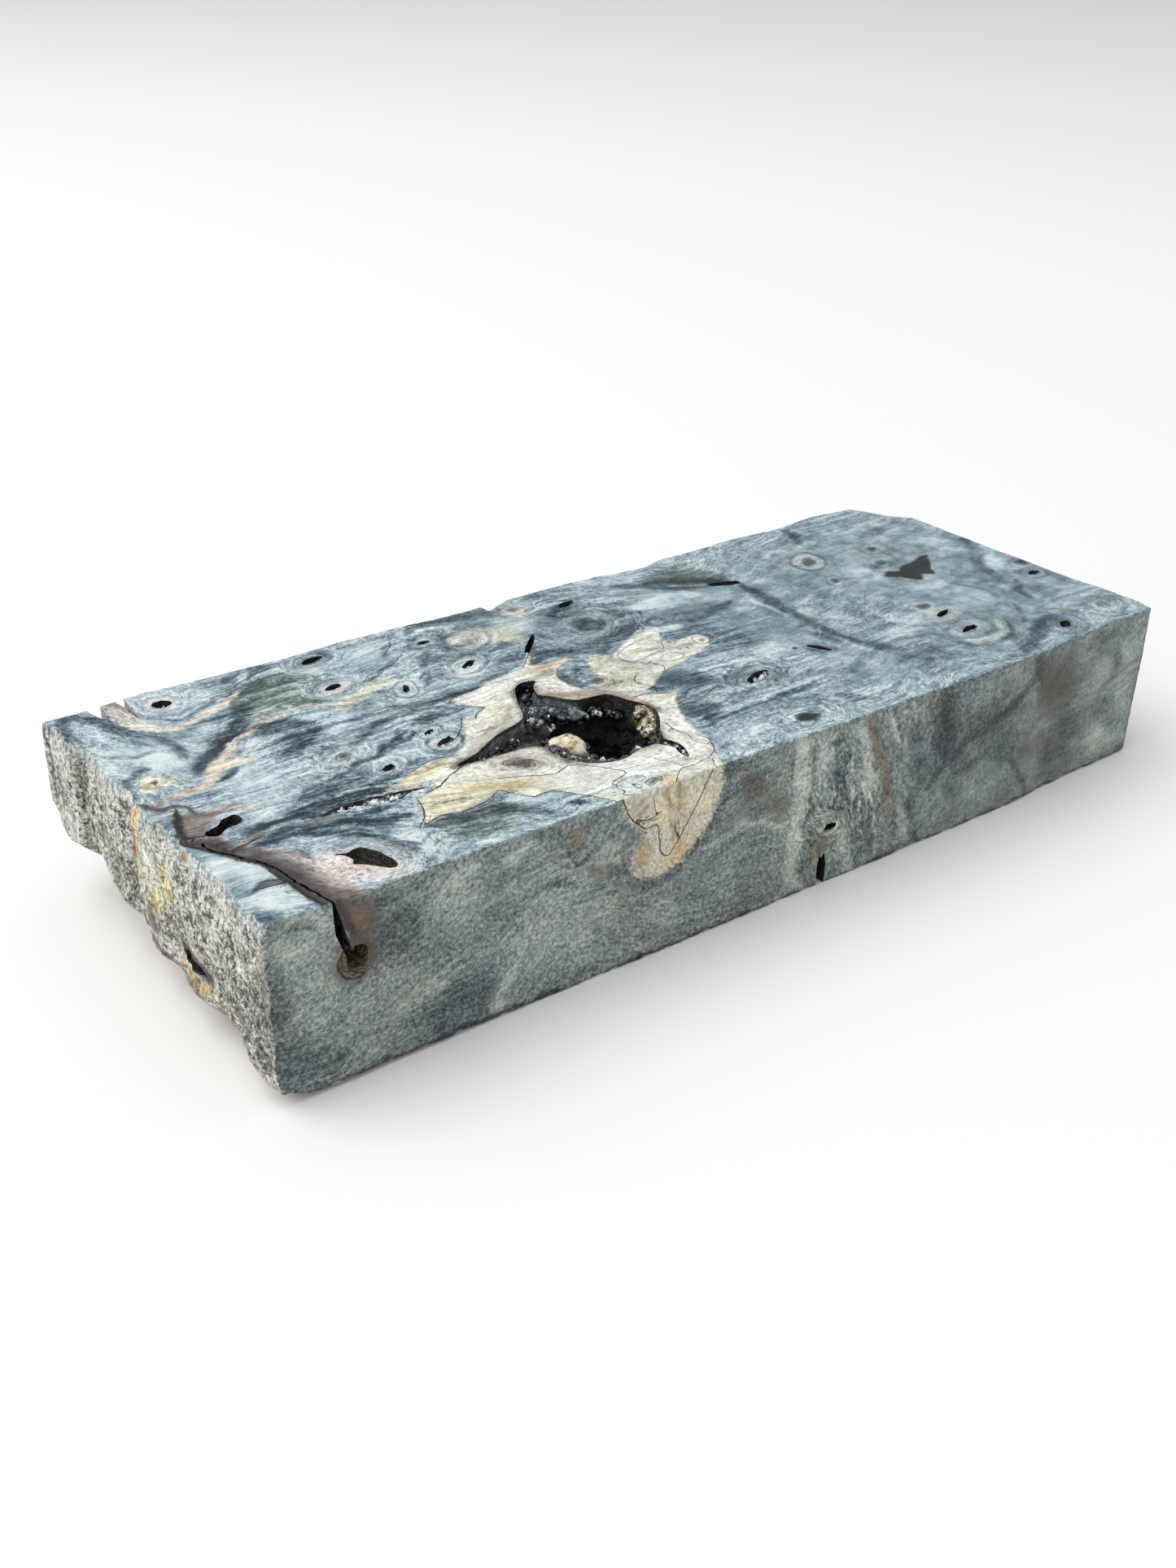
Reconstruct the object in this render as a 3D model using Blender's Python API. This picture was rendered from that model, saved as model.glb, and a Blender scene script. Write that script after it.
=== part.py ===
# Stabilized burl block: one sawn slab of spalted, burled wood. Its top is flat, its left end is torn end
# grain over a natural, undercut edge, and a deep bark hollow opens in its top.
#
# +X runs along the block, the front face is at -Y and +Z is up. The origin is the centre of the underside.
# Lists and dimensions are in millimetres, and MM turns them into metres.

import math

import bmesh
import bpy
from mathutils import Matrix, Vector, noise

MM = 0.001

# Driving dimensions of the whole block, over its unevenness
LENGTH = 141.4
WIDTH = 56.0
HEIGHT = 22.6

# The sawn slab inside that unevenness
SLAB_LENGTH = 140.0
SLAB_WIDTH = 54.4

# Spacing of the slab's faces: fine at the torn left end, coarser towards the right
FIRST_STEP_X = 1.9
LAST_STEP_X = 4.6
STEP_GROWTH = 1.11
STEP_Y = 2.45
STEP_Z = 2.45

# How far cutters stand out of the faces that they cut
OVERSHOOT = 1.2

# Sawn edges seen from above, as (x, y)
FRONT_EDGE = ((-70, -27.2), (-40, -27.2), (-20, -27.5), (0, -27.7), (20, -27.9), (44, -28.0),
              (52, -27.3), (60, -27.1), (70, -26.9))
BACK_EDGE = ((-70, 26.9), (-56, 27.4), (-42, 27.0), (-28, 27.3), (-9, 26.8), (4, 27.2), (12, 27.0),
             (15, 26.3), (20, 25.9), (25, 27.0), (38, 27.3), (48, 27.1), (56, 28.0), (61, 27.3), (70, 27.0))

# Right end, as (y, x)
RIGHT_END = ((-27.2, 70.1), (-24, 70.7), (-19, 70.7), (-13, 70.0), (5, 69.8), (27.2, 70.0))

# Left end: lower rim of the end grain, as (y, z), and the relief across it, as (y, distance outwards)
END_GRAIN_RIM = ((-27.2, 4.0), (-25, 3.6), (-22, 4.3), (-20, 5.0), (-19, 6.3), (-17, 7.2), (-15.5, 7.4),
                 (-12, 6.2), (-9, 5.2), (-7, 4.8), (-6, 6.2), (-2, 5.5), (0, 5.8), (3, 6.5), (6, 7.5),
                 (10, 7.8), (13, 8.5), (15, 10.5), (18, 10.8), (19, 9.6), (23.5, 9.0), (25, 9.8),
                 (27.2, 12.5))
END_RELIEF = ((-27.2, 0.0), (-24, 0.3), (-18, 0.0), (-11, 0.4), (-5, -0.1), (-1, 0.6), (3, 0.3),
              (5, -0.4), (8, 0.3), (14, 0.0), (17.4, -0.2), (18.6, -1.1), (19.6, 0.6), (22, 0.9),
              (24.5, 0.8), (25.8, 0.4), (27.2, 0.9))
TOP_EDGE_ROLL = 0.5
END_ROUGHNESS = 0.3
FACE_ROUGHNESS = 0.12

# Natural edge under the end grain: how far under the slab it reaches, as (y, reach)
UNDERCUT_REACH = ((-27.2, 5.2), (-20, 8.0), (-6, 10.5), (8, 13.0), (18, 16.5), (27.2, 18.0))

# The underside lifts a little off flat along the front edge, as (x, z)
FRONT_LIFT = ((-70, 0.45), (-60, 0.4), (-48, 0.2), (-36, 0.0), (70, 0.0))

# Bark hollow in the top: rim of the whole hollow and of its deep part, as (x, y)
HOLLOW_RIM = ((-15.8, 3.0), (-17.8, 3.6), (-19.5, 2.5), (-21.5, -1.0), (-23.5, -4.8), (-28.5, -6.5),
              (-33.0, -9.0), (-36.0, -10.3), (-32.0, -10.9), (-27.0, -11.3), (-25.5, -15.0),
              (-24.5, -17.0), (-22.5, -19.0), (-20.0, -19.8), (-15.5, -18.9), (-13.4, -18.8),
              (-11.6, -16.6), (-9.2, -13.4), (-8.5, -11.0),
              (-9.8, -7.5), (-11.0, -5.0), (-15.0, -4.3), (-17.0, -1.5), (-18.0, -0.4), (-17.0, 2.0))
HOLLOW_FLOOR_LEFT = (-36.0, 21.2)
HOLLOW_FLOOR_RIGHT = (-8.0, 16.9)
DEEP_RIM = ((-17.2, -3.2), (-15.2, -4.7), (-11.2, -5.4), (-10.0, -7.6), (-8.8, -11.0), (-9.5, -13.2),
            (-11.9, -16.8), (-14.0, -18.4), (-19.0, -19.3), (-21.6, -18.2), (-22.0, -15.8),
            (-20.4, -13.0), (-20.6, -9.0), (-19.9, -5.2))
DEEP_FLOOR = 8.6
DEEP_MOUTH_SHARE = 0.98
DEEP_RINGS = ((17.0, 0.96), (12.0, 0.82), (DEEP_FLOOR, 0.5))

# Cream lump left standing at the hollow's shelf: place and radii
LUMP_PLACE = (-22.2, -12.4, 19.9)
LUMP_RADII = (2.0, 2.9, 2.4)

# Crack round the front left corner, as (x, y, width, depth, lean of its bottom towards +X)
CRACK = ((-68.0, -9.6, 0.9, 1.8, 0.0), (-67.6, -11.6, 1.2, 3.0, 0.0), (-66.0, -14.4, 1.4, 4.0, 0.2),
         (-64.3, -18.0, 1.6, 5.2, 0.6), (-63.8, -22.5, 1.8, 6.6, 1.5), (-63.0, -26.4, 1.9, 7.8, 2.5),
         (-62.4, -29.4, 1.9, 8.2, 2.6))
CRACK_BOTTOM_SHARE = 0.5

# Pits in the top: x, y, length, width, turn in degrees, depth
TOP_PITS = ((-57.0, 23.3, 2.4, 2.2, 0, 1.8), (-64.3, -7.5, 4.5, 1.6, 24, 2.0),
            (-55.3, -22.3, 6.8, 2.3, -56, 3.0), (-37.7, 15.8, 2.7, 1.2, 0, 1.5),
            (-36.0, 24.4, 3.5, 1.5, 0, 1.5), (-34.3, -4.5, 3.0, 1.3, 0, 1.5),
            (-20.0, 12.0, 3.0, 1.3, 30, 1.5), (-10.0, 12.5, 7.0, 1.1, 45, 1.5),
            (2.3, 21.0, 3.0, 1.3, 0, 1.5), (8.2, -12.0, 4.5, 2.2, 0, 2.5),
            (25.9, 14.2, 5.6, 1.6, -22, 2.0), (21.2, -10.0, 3.4, 1.1, -60, 1.5),
            (43.0, -17.0, 3.2, 1.3, 0, 1.4), (43.8, -11.3, 3.0, 1.2, 0, 1.3),
            (55.2, -23.5, 2.6, 1.5, 0, 1.3), (67.0, -8.3, 2.1, 1.3, 0, 1.2),
            (-12.8, -21.2, 5.2, 1.5, 96, 3.0))
PIT_SIDES = 9

# Pits in the upright faces: x, y, z, size along the face, size up it, depth
FRONT_PITS = ((-60.0, -27.3, 14.8, 3.2, 3.4, 4.6), (6.6, -27.7, 1.4, 1.5, 6.8, 4.0))
LEFT_PITS = ((-70.2, -9.6, 9.0, 7.0, 1.8, 2.4), (-70.0, 4.8, 17.4, 2.2, 5.4, 1.8))

# Chips out of the back edge and the lost back right corner: outline from above, then its lowest level
BACK_CHIPS = ((((-65.3, 29.5), (-64.9, 25.2), (-64.2, 23.4), (-63.6, 24.6), (-63.3, 29.5)), 7.0),
              (((-61.5, 29.5), (-61.1, 25.0), (-60.7, 22.0), (-60.4, 25.0), (-60.1, 29.5)), 3.0),
              (((-8.4, 29.5), (-8.1, 26.4), (-7.8, 25.0), (-5.6, 26.0), (-2.8, 27.4), (-2.6, 29.5)), 11.0),
              (((63.2, 29.5), (64.0, 27.2), (65.5, 25.0), (67.0, 21.5), (69.7, 18.5), (72.5, 16.0),
                (73.0, 29.5)), -OVERSHOOT))


def clear_scene():
    for item in list(bpy.data.objects):
        bpy.data.objects.remove(item, do_unlink=True)


def wood_material(name, colour, roughness):
    material = bpy.data.materials.new(name)
    material.use_nodes = True
    shader = material.node_tree.nodes["Principled BSDF"]
    shader.inputs["Base Color"].default_value = (*colour, 1.0)
    shader.inputs["Roughness"].default_value = roughness
    shader.inputs["Metallic"].default_value = 0.0
    return material


def read_profile(profile, place):
    """Value of a hand-drawn profile of (place, value) pairs, eased between its points."""
    for (start, low), (end, high) in zip(profile, profile[1:]):
        if place <= end:
            share = max(0.0, (place - start) / (end - start))
            return low + (high - low) * share * share * (3.0 - 2.0 * share)
    return profile[-1][1]


def grain_noise(x, y, z, size):
    return noise.noise(Vector((x, y, z)) / size)


def steps_along_x():
    """Planes across the slab, closest together at the torn left end."""
    places = []
    place = -SLAB_LENGTH / 2
    step = FIRST_STEP_X
    while place + step < SLAB_LENGTH / 2 - FIRST_STEP_X:
        place += step
        places.append(place)
        step = min(step * STEP_GROWTH, LAST_STEP_X)
    return places


def even_steps(low, high, step):
    count = round((high - low) / step)
    return [low + (high - low) * index / count for index in range(1, count)]


def undercut(x, y, z):
    """Move a point of the lower left corner onto the natural edge under the end grain."""
    rim = read_profile(END_GRAIN_RIM, y)
    reach = read_profile(UNDERCUT_REACH, y)
    across = (x + SLAB_LENGTH / 2) / reach
    up = z / rim
    if across >= 1.0 or up >= 1.0:
        return x, z
    depth = min(across, up)
    if across <= up:
        travelled = rim * (1.0 - (up - depth) / (1.0 - depth))
    else:
        travelled = rim + reach * (across - depth) / (1.0 - depth)
    share = travelled / (rim + reach)
    fullness = 0.1 + 0.25 * (y + SLAB_WIDTH / 2) / SLAB_WIDTH
    bend = Vector((fullness * reach, fullness * rim))
    curve = (1 - share) ** 2 * Vector((0, rim)) + 2 * share * (1 - share) * bend
    curve += share ** 2 * Vector((reach, 0))
    place = curve.lerp(Vector((reach, rim)), depth)
    return place.x - SLAB_LENGTH / 2, place.y


def end_relief(y, z):
    """Distance that the torn left end stands out of its plane."""
    relief = read_profile(END_RELIEF, y)
    relief += END_ROUGHNESS * 1.6 * grain_noise(3.0, y, z * 0.6, 4.0)
    relief += END_ROUGHNESS * grain_noise(7.0, y, z * 0.7, 1.9)
    top_share = max(0.0, (z - (HEIGHT - 2.0)) / 2.0)
    return relief - TOP_EDGE_ROLL * top_share


def shape_point(x, y, z):
    """Place of a point of the plain slab once the slab is sawn, torn and weathered."""
    half_length = SLAB_LENGTH / 2
    half_width = SLAB_WIDTH / 2
    across = (y + half_width) / SLAB_WIDTH
    along_front = read_profile(FRONT_EDGE, x)
    along_back = read_profile(BACK_EDGE, x)
    on_front = y < -half_width + 0.01
    on_back = y > half_width - 0.01
    on_left = x < -half_length + 0.01
    on_right = x > half_length - 0.01
    on_bottom = z < 0.01

    new_x, new_z = undercut(x, y, z)
    new_y = along_front + (along_back - along_front) * across
    left_share = max(0.0, 1.0 - (x + half_length) / 6.0)
    right_share = max(0.0, 1.0 - (half_length - x) / 10.0)
    new_x -= end_relief(y, z) * left_share
    new_x += (read_profile(RIGHT_END, y) - half_length) * right_share
    if on_left:
        new_x += 0.3 * FACE_ROUGHNESS * grain_noise(x, y, z, 1.1)
    if on_right:
        new_x += FACE_ROUGHNESS * grain_noise(x, y, z, 5.0)
    if on_front:
        new_y += FACE_ROUGHNESS * grain_noise(x, y, z, 6.0)
    if on_back:
        new_y += 2.5 * FACE_ROUGHNESS * grain_noise(x, y, z, 7.0)
    if on_bottom:
        front_share = max(0.0, 1.0 - across * 6.0)
        new_z += read_profile(FRONT_LIFT, x) * front_share

    new_x = max(-LENGTH / 2, min(LENGTH / 2, new_x))
    new_y = max(-WIDTH / 2, min(WIDTH / 2, new_y))
    return Vector((new_x, new_y, new_z)) * MM


def make_slab(material):
    """The sawn slab as a grid of quads, shaped point by point."""
    mesh = bpy.data.meshes.new("burl_block")
    shell = bmesh.new()
    bmesh.ops.create_cube(shell, size=1.0)
    bmesh.ops.scale(shell, vec=(SLAB_LENGTH, SLAB_WIDTH, HEIGHT), verts=shell.verts)
    bmesh.ops.translate(shell, vec=(0, 0, HEIGHT / 2), verts=shell.verts)
    planes = [(Vector((place, 0, 0)), Vector((1, 0, 0))) for place in steps_along_x()]
    for place in even_steps(-SLAB_WIDTH / 2, SLAB_WIDTH / 2, STEP_Y):
        planes.append((Vector((0, place, 0)), Vector((0, 1, 0))))
    for place in even_steps(0.0, HEIGHT, STEP_Z):
        planes.append((Vector((0, 0, place)), Vector((0, 0, 1))))
    for point, normal in planes:
        everything = shell.verts[:] + shell.edges[:] + shell.faces[:]
        bmesh.ops.bisect_plane(shell, geom=everything, dist=1e-4, plane_co=point, plane_no=normal)
    for vert in shell.verts:
        vert.co = shape_point(*vert.co)
    bmesh.ops.recalc_face_normals(shell, faces=shell.faces)
    shell.to_mesh(mesh)
    shell.free()
    slab = bpy.data.objects.new("burl_block", mesh)
    slab.data.materials.append(material)
    bpy.context.collection.objects.link(slab)
    return slab


def cutter_object(name, shell):
    """Finish a cutter's mesh and keep the cutter out of the built part."""
    bmesh.ops.recalc_face_normals(shell, faces=shell.faces)
    mesh = bpy.data.meshes.new(name)
    shell.to_mesh(mesh)
    shell.free()
    cutter = bpy.data.objects.new(name, mesh)
    cutter.hide_render = True
    cutter.display_type = "WIRE"
    bpy.context.collection.objects.link(cutter)
    return cutter


def apply_shape(slab, cutter, operation):
    modifier = slab.modifiers.new(cutter.name, "BOOLEAN")
    modifier.object = cutter
    modifier.operation = operation
    modifier.solver = "EXACT"


def stacked_outlines(name, rings):
    """Closed cutter through a stack of outlines with equal numbers of points, highest first."""
    shell = bmesh.new()
    loops = []
    for ring in rings:
        loops.append([shell.verts.new(point) for point in ring])
    for upper, lower in zip(loops, loops[1:]):
        for index in range(len(upper)):
            after = (index + 1) % len(upper)
            shell.faces.new((upper[index], upper[after], lower[after], lower[index]))
    shell.faces.new(loops[0])
    shell.faces.new(loops[-1])
    bmesh.ops.scale(shell, vec=(MM, MM, MM), verts=shell.verts)
    return cutter_object(name, shell)


def scaled_outline(outline, share):
    centre_x = sum(point[0] for point in outline) / len(outline)
    centre_y = sum(point[1] for point in outline) / len(outline)
    return [(centre_x + (x - centre_x) * share, centre_y + (y - centre_y) * share) for x, y in outline]


def shelf_level(x):
    """Height of the shelf, a plane that falls from the hollow's left tip towards its deep part."""
    (left, high), (right, low) = HOLLOW_FLOOR_LEFT, HOLLOW_FLOOR_RIGHT
    return high + (low - high) * (x - left) / (right - left)


def cut_hollow(slab):
    """Shallow shelf under the whole rim, then the deep part, then the lump left standing between them."""
    top = HEIGHT + OVERSHOOT
    shelf = stacked_outlines("hollow_shelf", (
        [(x, y, top) for x, y in HOLLOW_RIM],
        [(x, y, (HEIGHT + shelf_level(x)) / 2) for x, y in scaled_outline(HOLLOW_RIM, 0.98)],
        [(x, y, shelf_level(x)) for x, y in scaled_outline(HOLLOW_RIM, 0.93)]))
    apply_shape(slab, shelf, "DIFFERENCE")

    rings = [[(x, y, top) for x, y in scaled_outline(DEEP_RIM, DEEP_MOUTH_SHARE)]]
    for level, share in DEEP_RINGS:
        rings.append([(x, y, level) for x, y in scaled_outline(DEEP_RIM, share)])
    apply_shape(slab, stacked_outlines("hollow_deep", rings), "DIFFERENCE")

    shell = bmesh.new()
    bmesh.ops.create_icosphere(shell, subdivisions=2, radius=1.0)
    bmesh.ops.scale(shell, vec=Vector(LUMP_RADII) * MM, verts=shell.verts)
    bmesh.ops.translate(shell, vec=Vector(LUMP_PLACE) * MM, verts=shell.verts)
    apply_shape(slab, cutter_object("hollow_lump", shell), "UNION")


def cut_crack(slab):
    """Wedge that follows the crack and leans towards +X as it goes down the front face."""
    shell = bmesh.new()
    sections = []
    for index, (x, y, width, depth, lean) in enumerate(CRACK):
        before = CRACK[max(index - 1, 0)]
        after = CRACK[min(index + 1, len(CRACK) - 1)]
        side = Vector((after[1] - before[1], before[0] - after[0], 0)).normalized() * width / 2
        mouth = Vector((x, y, HEIGHT + OVERSHOOT))
        root = Vector((x + lean, y, HEIGHT - depth))
        narrow = side * CRACK_BOTTOM_SHARE
        corners = (mouth - side, mouth + side, root + narrow, root - narrow)
        sections.append([shell.verts.new(corner * MM) for corner in corners])
    for near, far in zip(sections, sections[1:]):
        for index in range(4):
            after = (index + 1) % 4
            shell.faces.new((near[index], near[after], far[after], far[index]))
    shell.faces.new(sections[0])
    shell.faces.new(sections[-1])
    apply_shape(slab, cutter_object("corner_crack", shell), "DIFFERENCE")


def pit_cutter(name, place, lengths, turn):
    """Blunt cone whose wide end stands out of the face; lengths are its two widths and its depth."""
    shell = bmesh.new()
    depth = lengths[2] + OVERSHOOT
    bmesh.ops.create_cone(shell, cap_ends=True, segments=PIT_SIDES, radius1=0.22, radius2=0.6, depth=1.0)
    bmesh.ops.translate(shell, vec=(0, 0, 0.5), verts=shell.verts)
    bmesh.ops.scale(shell, vec=(lengths[0], lengths[1], depth), verts=shell.verts)
    bmesh.ops.translate(shell, vec=(0, 0, -lengths[2]), verts=shell.verts)
    bmesh.ops.transform(shell, matrix=turn, verts=shell.verts)
    bmesh.ops.translate(shell, vec=place, verts=shell.verts)
    bmesh.ops.scale(shell, vec=(MM, MM, MM), verts=shell.verts)
    return cutter_object(name, shell)


def cut_pits(slab):
    for index, (x, y, length, width, turn, depth) in enumerate(TOP_PITS):
        turned = Matrix.Rotation(math.radians(turn), 4, "Z")
        pit = pit_cutter(f"top_pit_{index + 1}", (x, y, HEIGHT), (length, width, depth), turned)
        apply_shape(slab, pit, "DIFFERENCE")
    facing_front = Matrix.Rotation(math.radians(90), 4, "X")
    for index, (x, y, z, along, up, depth) in enumerate(FRONT_PITS):
        pit = pit_cutter(f"front_pit_{index + 1}", (x, y, z), (along, up, depth), facing_front)
        apply_shape(slab, pit, "DIFFERENCE")
    facing_left = Matrix.Rotation(math.radians(-90), 4, "Y")
    for index, (x, y, z, along, up, depth) in enumerate(LEFT_PITS):
        pit = pit_cutter(f"left_pit_{index + 1}", (x, y, z), (up, along, depth), facing_left)
        apply_shape(slab, pit, "DIFFERENCE")


def cut_back_chips(slab):
    for index, (outline, lowest) in enumerate(BACK_CHIPS):
        chip = stacked_outlines(f"back_chip_{index + 1}", (
            [(x, y, HEIGHT + OVERSHOOT) for x, y in outline],
            [(x, y, lowest) for x, y in outline]))
        apply_shape(slab, chip, "DIFFERENCE")


def build():
    clear_scene()
    wood = wood_material("burl_wood", (0.33, 0.36, 0.35), 0.55)
    slab = make_slab(wood)
    cut_hollow(slab)
    cut_crack(slab)
    cut_back_chips(slab)
    cut_pits(slab)


build()
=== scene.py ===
import math

import bmesh
import bpy
import numpy as np
from mathutils import Matrix, Vector, noise


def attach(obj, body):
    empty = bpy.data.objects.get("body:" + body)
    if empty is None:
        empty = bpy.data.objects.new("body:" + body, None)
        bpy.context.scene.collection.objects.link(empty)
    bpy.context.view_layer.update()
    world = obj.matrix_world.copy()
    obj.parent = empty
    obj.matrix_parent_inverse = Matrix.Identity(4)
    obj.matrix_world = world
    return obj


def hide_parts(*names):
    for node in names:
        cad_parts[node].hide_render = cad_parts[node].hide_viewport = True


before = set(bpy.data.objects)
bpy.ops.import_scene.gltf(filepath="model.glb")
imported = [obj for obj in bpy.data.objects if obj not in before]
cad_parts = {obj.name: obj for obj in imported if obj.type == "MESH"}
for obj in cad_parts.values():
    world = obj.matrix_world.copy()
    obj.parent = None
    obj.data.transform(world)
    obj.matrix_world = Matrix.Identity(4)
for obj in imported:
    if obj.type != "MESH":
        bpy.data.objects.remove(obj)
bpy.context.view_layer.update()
mm = 0.001

# The sawn slab: its plain size, its unevenness, and how fine its faces are
slab = {
    "length": 140.0, "width": 54.4, "height": 22.6,
    "fullLength": 141.4, "fullWidth": 56.0,
    "wornEdge": 0.13,
    "cutsX": (10, 14), "cutsY": (63,), "cutsZ": (26,),
    "frontEdge": ((-70, -27.2), (-40, -27.2), (-20, -27.5), (0, -27.7), (20, -27.9), (44, -28.0),
                  (52, -27.3), (60, -27.1), (70, -26.9)),
    "backEdge": ((-70, 26.9), (-56, 27.4), (-42, 27.0), (-28, 27.3), (-9, 26.8), (4, 27.2), (12, 27.0),
                 (15, 26.3), (20, 25.9), (25, 27.0), (38, 27.3), (48, 27.1), (56, 28.0), (61, 27.3),
                 (70, 27.0)),
    "rightEnd": ((-27.2, 70.1), (-24, 70.7), (-19, 70.7), (-13, 70.0), (5, 69.8), (27.2, 70.0)),
    "frontLift": ((-70, 0.45), (-60, 0.4), (-48, 0.2), (-36, 0.0), (70, 0.0)),
    # waves of the faces as (reach, size), the front's fine ones drawn out along its fibres
    "rightWaves": ((0.12, 5.0), (0.05, 0.9)), "backWaves": ((0.3, 7.0), (0.12, 1.4)),
    "frontWaves": ((0.12, 6.0),), "frontFibres": ((0.03, 0.6),), "fibreStretch": (0.3, 0.3, 1.0),
    "leftBlend": 6.0, "rightBlend": 10.0,         # how far in from its end each end's relief fades out
    "chipReach": 1.2, "chipLift": 0.5,            # ragged lower front edge
}

# Torn left end: lower rim of the end grain as (y, z), relief as (y, outwards), undercut as (y, reach)
tornEnd = {
    "from": -67.0,
    "rim": ((-27.2, 4.0), (-25, 3.6), (-22, 4.3), (-20, 5.0), (-19, 6.3), (-17, 7.2), (-15.5, 7.4),
            (-12, 6.2), (-9, 5.2), (-7, 4.8), (-6, 6.2), (-2, 5.5), (0, 5.8), (3, 6.5), (6, 7.5),
            (10, 7.8), (13, 8.5), (15, 10.5), (18, 10.8), (19, 9.6), (23.5, 9.0), (25, 9.8), (27.2, 12.5)),
    "relief": ((-27.2, 0.0), (-24, 0.3), (-18, 0.0), (-11, 0.4), (-5, -0.1), (-1, 0.6), (3, 0.3),
               (5, -0.4), (8, 0.3), (14, 0.0), (17.4, -0.2), (18.6, -1.1), (19.6, 0.6), (22, 0.9),
               (24.5, 0.8), (25.8, 0.4), (27.2, 0.9)),
    "undercutReach": ((-27.2, 5.2), (-20, 8.0), (-6, 10.5), (8, 13.0), (18, 16.5), (27.2, 18.0)),
    "undercutFullness": (0.1, 0.25),             # at the front, and added by the back
    # waves as (reach, size, upright squeeze, shift), then pores as (reach, size)
    "waves": ((0.48, 4.0, 0.6, 3.0), (0.3, 1.9, 0.7, 7.0)),
    "pores": 0.16, "poreSizes": ((1.0, 0.7), (0.7, 1.3)),
    "edgeRoll": 0.5, "rollHeight": 2.0,
}

# Bark hollow in the top, as outlines seen from above
hollow = {
    "rim": ((-15.8, 3.0), (-16.5, 3.5), (-18, 3.6), (-19.5, 2.5), (-21.5, -1.0), (-23.5, -4.8), (-28.5, -6.5),
            (-33.0, -9.0), (-37.0, -10.4), (-32.0, -10.9), (-27.0, -11.3), (-25.6, -12.4), (-25.8, -14.2),
            (-25.2, -16.4), (-23.6, -18.7), (-20.2, -20.0), (-16.6, -19.1), (-13.4, -18.9),
            (-11.6, -16.6), (-9.2, -13.4), (-8.5, -11.0), (-9.8, -7.5), (-11.0, -5.0), (-15.0, -4.3),
            (-17.0, -1.5), (-18.0, -0.4), (-17.0, 2.0)),
    "floorLeft": (-36.0, 21.2), "floorRight": (-8.0, 16.9),
    "deepRim": ((-17.2, -3.2), (-15.2, -4.7), (-11.2, -5.4), (-10.0, -7.6), (-8.8, -11.0), (-9.5, -13.2),
                (-11.9, -16.8), (-14.0, -18.4), (-19.0, -19.3), (-21.6, -18.2), (-22.0, -15.8),
                (-20.4, -13.0), (-20.6, -9.0), (-19.9, -5.2)),
    "deepRings": ((17.0, 0.96), (14.5, 0.9), (12.0, 0.82), (10.0, 0.7), (8.8, 0.5)),
    "tail": ((-13.6, -18.2), (-12.6, -18.9), (-12.1, -20.6), (-12.4, -22.2), (-13.5, -24.2), (-13.6, -22.4),
             (-13.2, -20.8), (-14.0, -19.6)),
    "lump": {"place": (-21.5, -11.3, 20.5), "radii": (1.7, 2.6, 1.95), "turn": 34, "rough": 0.14},
    "shelfLevels": ((21.0, 0.985), (20.0, 0.94)), "tailLevels": ((21.5, 0.95), (19.6, 0.7)),
    "ledge": {"height": 2.3, "fromX": -22, "fromY": -5.0, "slope": 3.0},
    "grit": 0.45, "gritSizes": ((1.0, 1.7), (0.6, 0.7)), "voxel": 0.4,
}

# Crack round the front left corner: x, y, width, depth, lean of its bottom towards +X
crack = ((-68.0, -9.6, 0.9, 1.8, 0.0), (-67.6, -11.6, 1.1, 3.0, 0.0), (-66.0, -14.4, 1.1, 4.0, 0.2),
         (-64.5, -17.0, 1.0, 5.0, 0.5), (-63.9, -20.0, 1.1, 5.8, 1.0), (-63.8, -22.5, 1.2, 6.6, 1.5),
         (-63.0, -26.4, 1.3, 7.8, 2.4), (-62.6, -29.4, 1.3, 8.2, 2.6))
# How its width varies, how far its middle strays, and its widths as shares of the width given
crackForm = {"waver": 0.9, "sway": 0.35, "upperWidth": 0.6, "lowerWidth": 0.7}

# Open pits in the top: x, y, length, width, turn in degrees, depth
topPits = ((-57.0, 23.3, 2.4, 2.2, 0, 1.8), (-37.7, 15.8, 2.7, 1.2, 14, 1.5),
           (-36.0, 24.4, 3.6, 1.4, 14, 1.5), (-34.3, -4.5, 3.0, 1.3, 28, 1.5),
           (-20.0, 12.0, 3.0, 1.2, 32, 1.5), (-10.0, 12.5, 6.6, 0.9, 46, 1.5),
           (2.3, 21.0, 3.0, 1.3, 16, 1.5), (8.2, -12.0, 4.7, 1.9, 18, 2.5),
           (25.9, 14.2, 5.6, 1.5, -22, 1.2), (21.2, -10.0, 3.4, 1.0, -62, 1.2),
           (43.0, -17.0, 3.3, 1.2, 10, 1.4), (43.8, -11.3, 3.1, 1.1, 18, 1.3),
           (55.2, -23.5, 2.4, 1.4, 30, 1.3), (67.0, -8.3, 2.1, 1.3, 10, 1.2),
           (-30.5, 10.3, 2.2, 0.8, 62, 0.9), (-43.1, -6.3, 1.9, 1.1, 30, 0.8),
           (-34.6, -1.4, 1.8, 0.8, 30, 0.8), (-21.2, 21.0, 2.2, 0.8, 5, 0.8))
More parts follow.
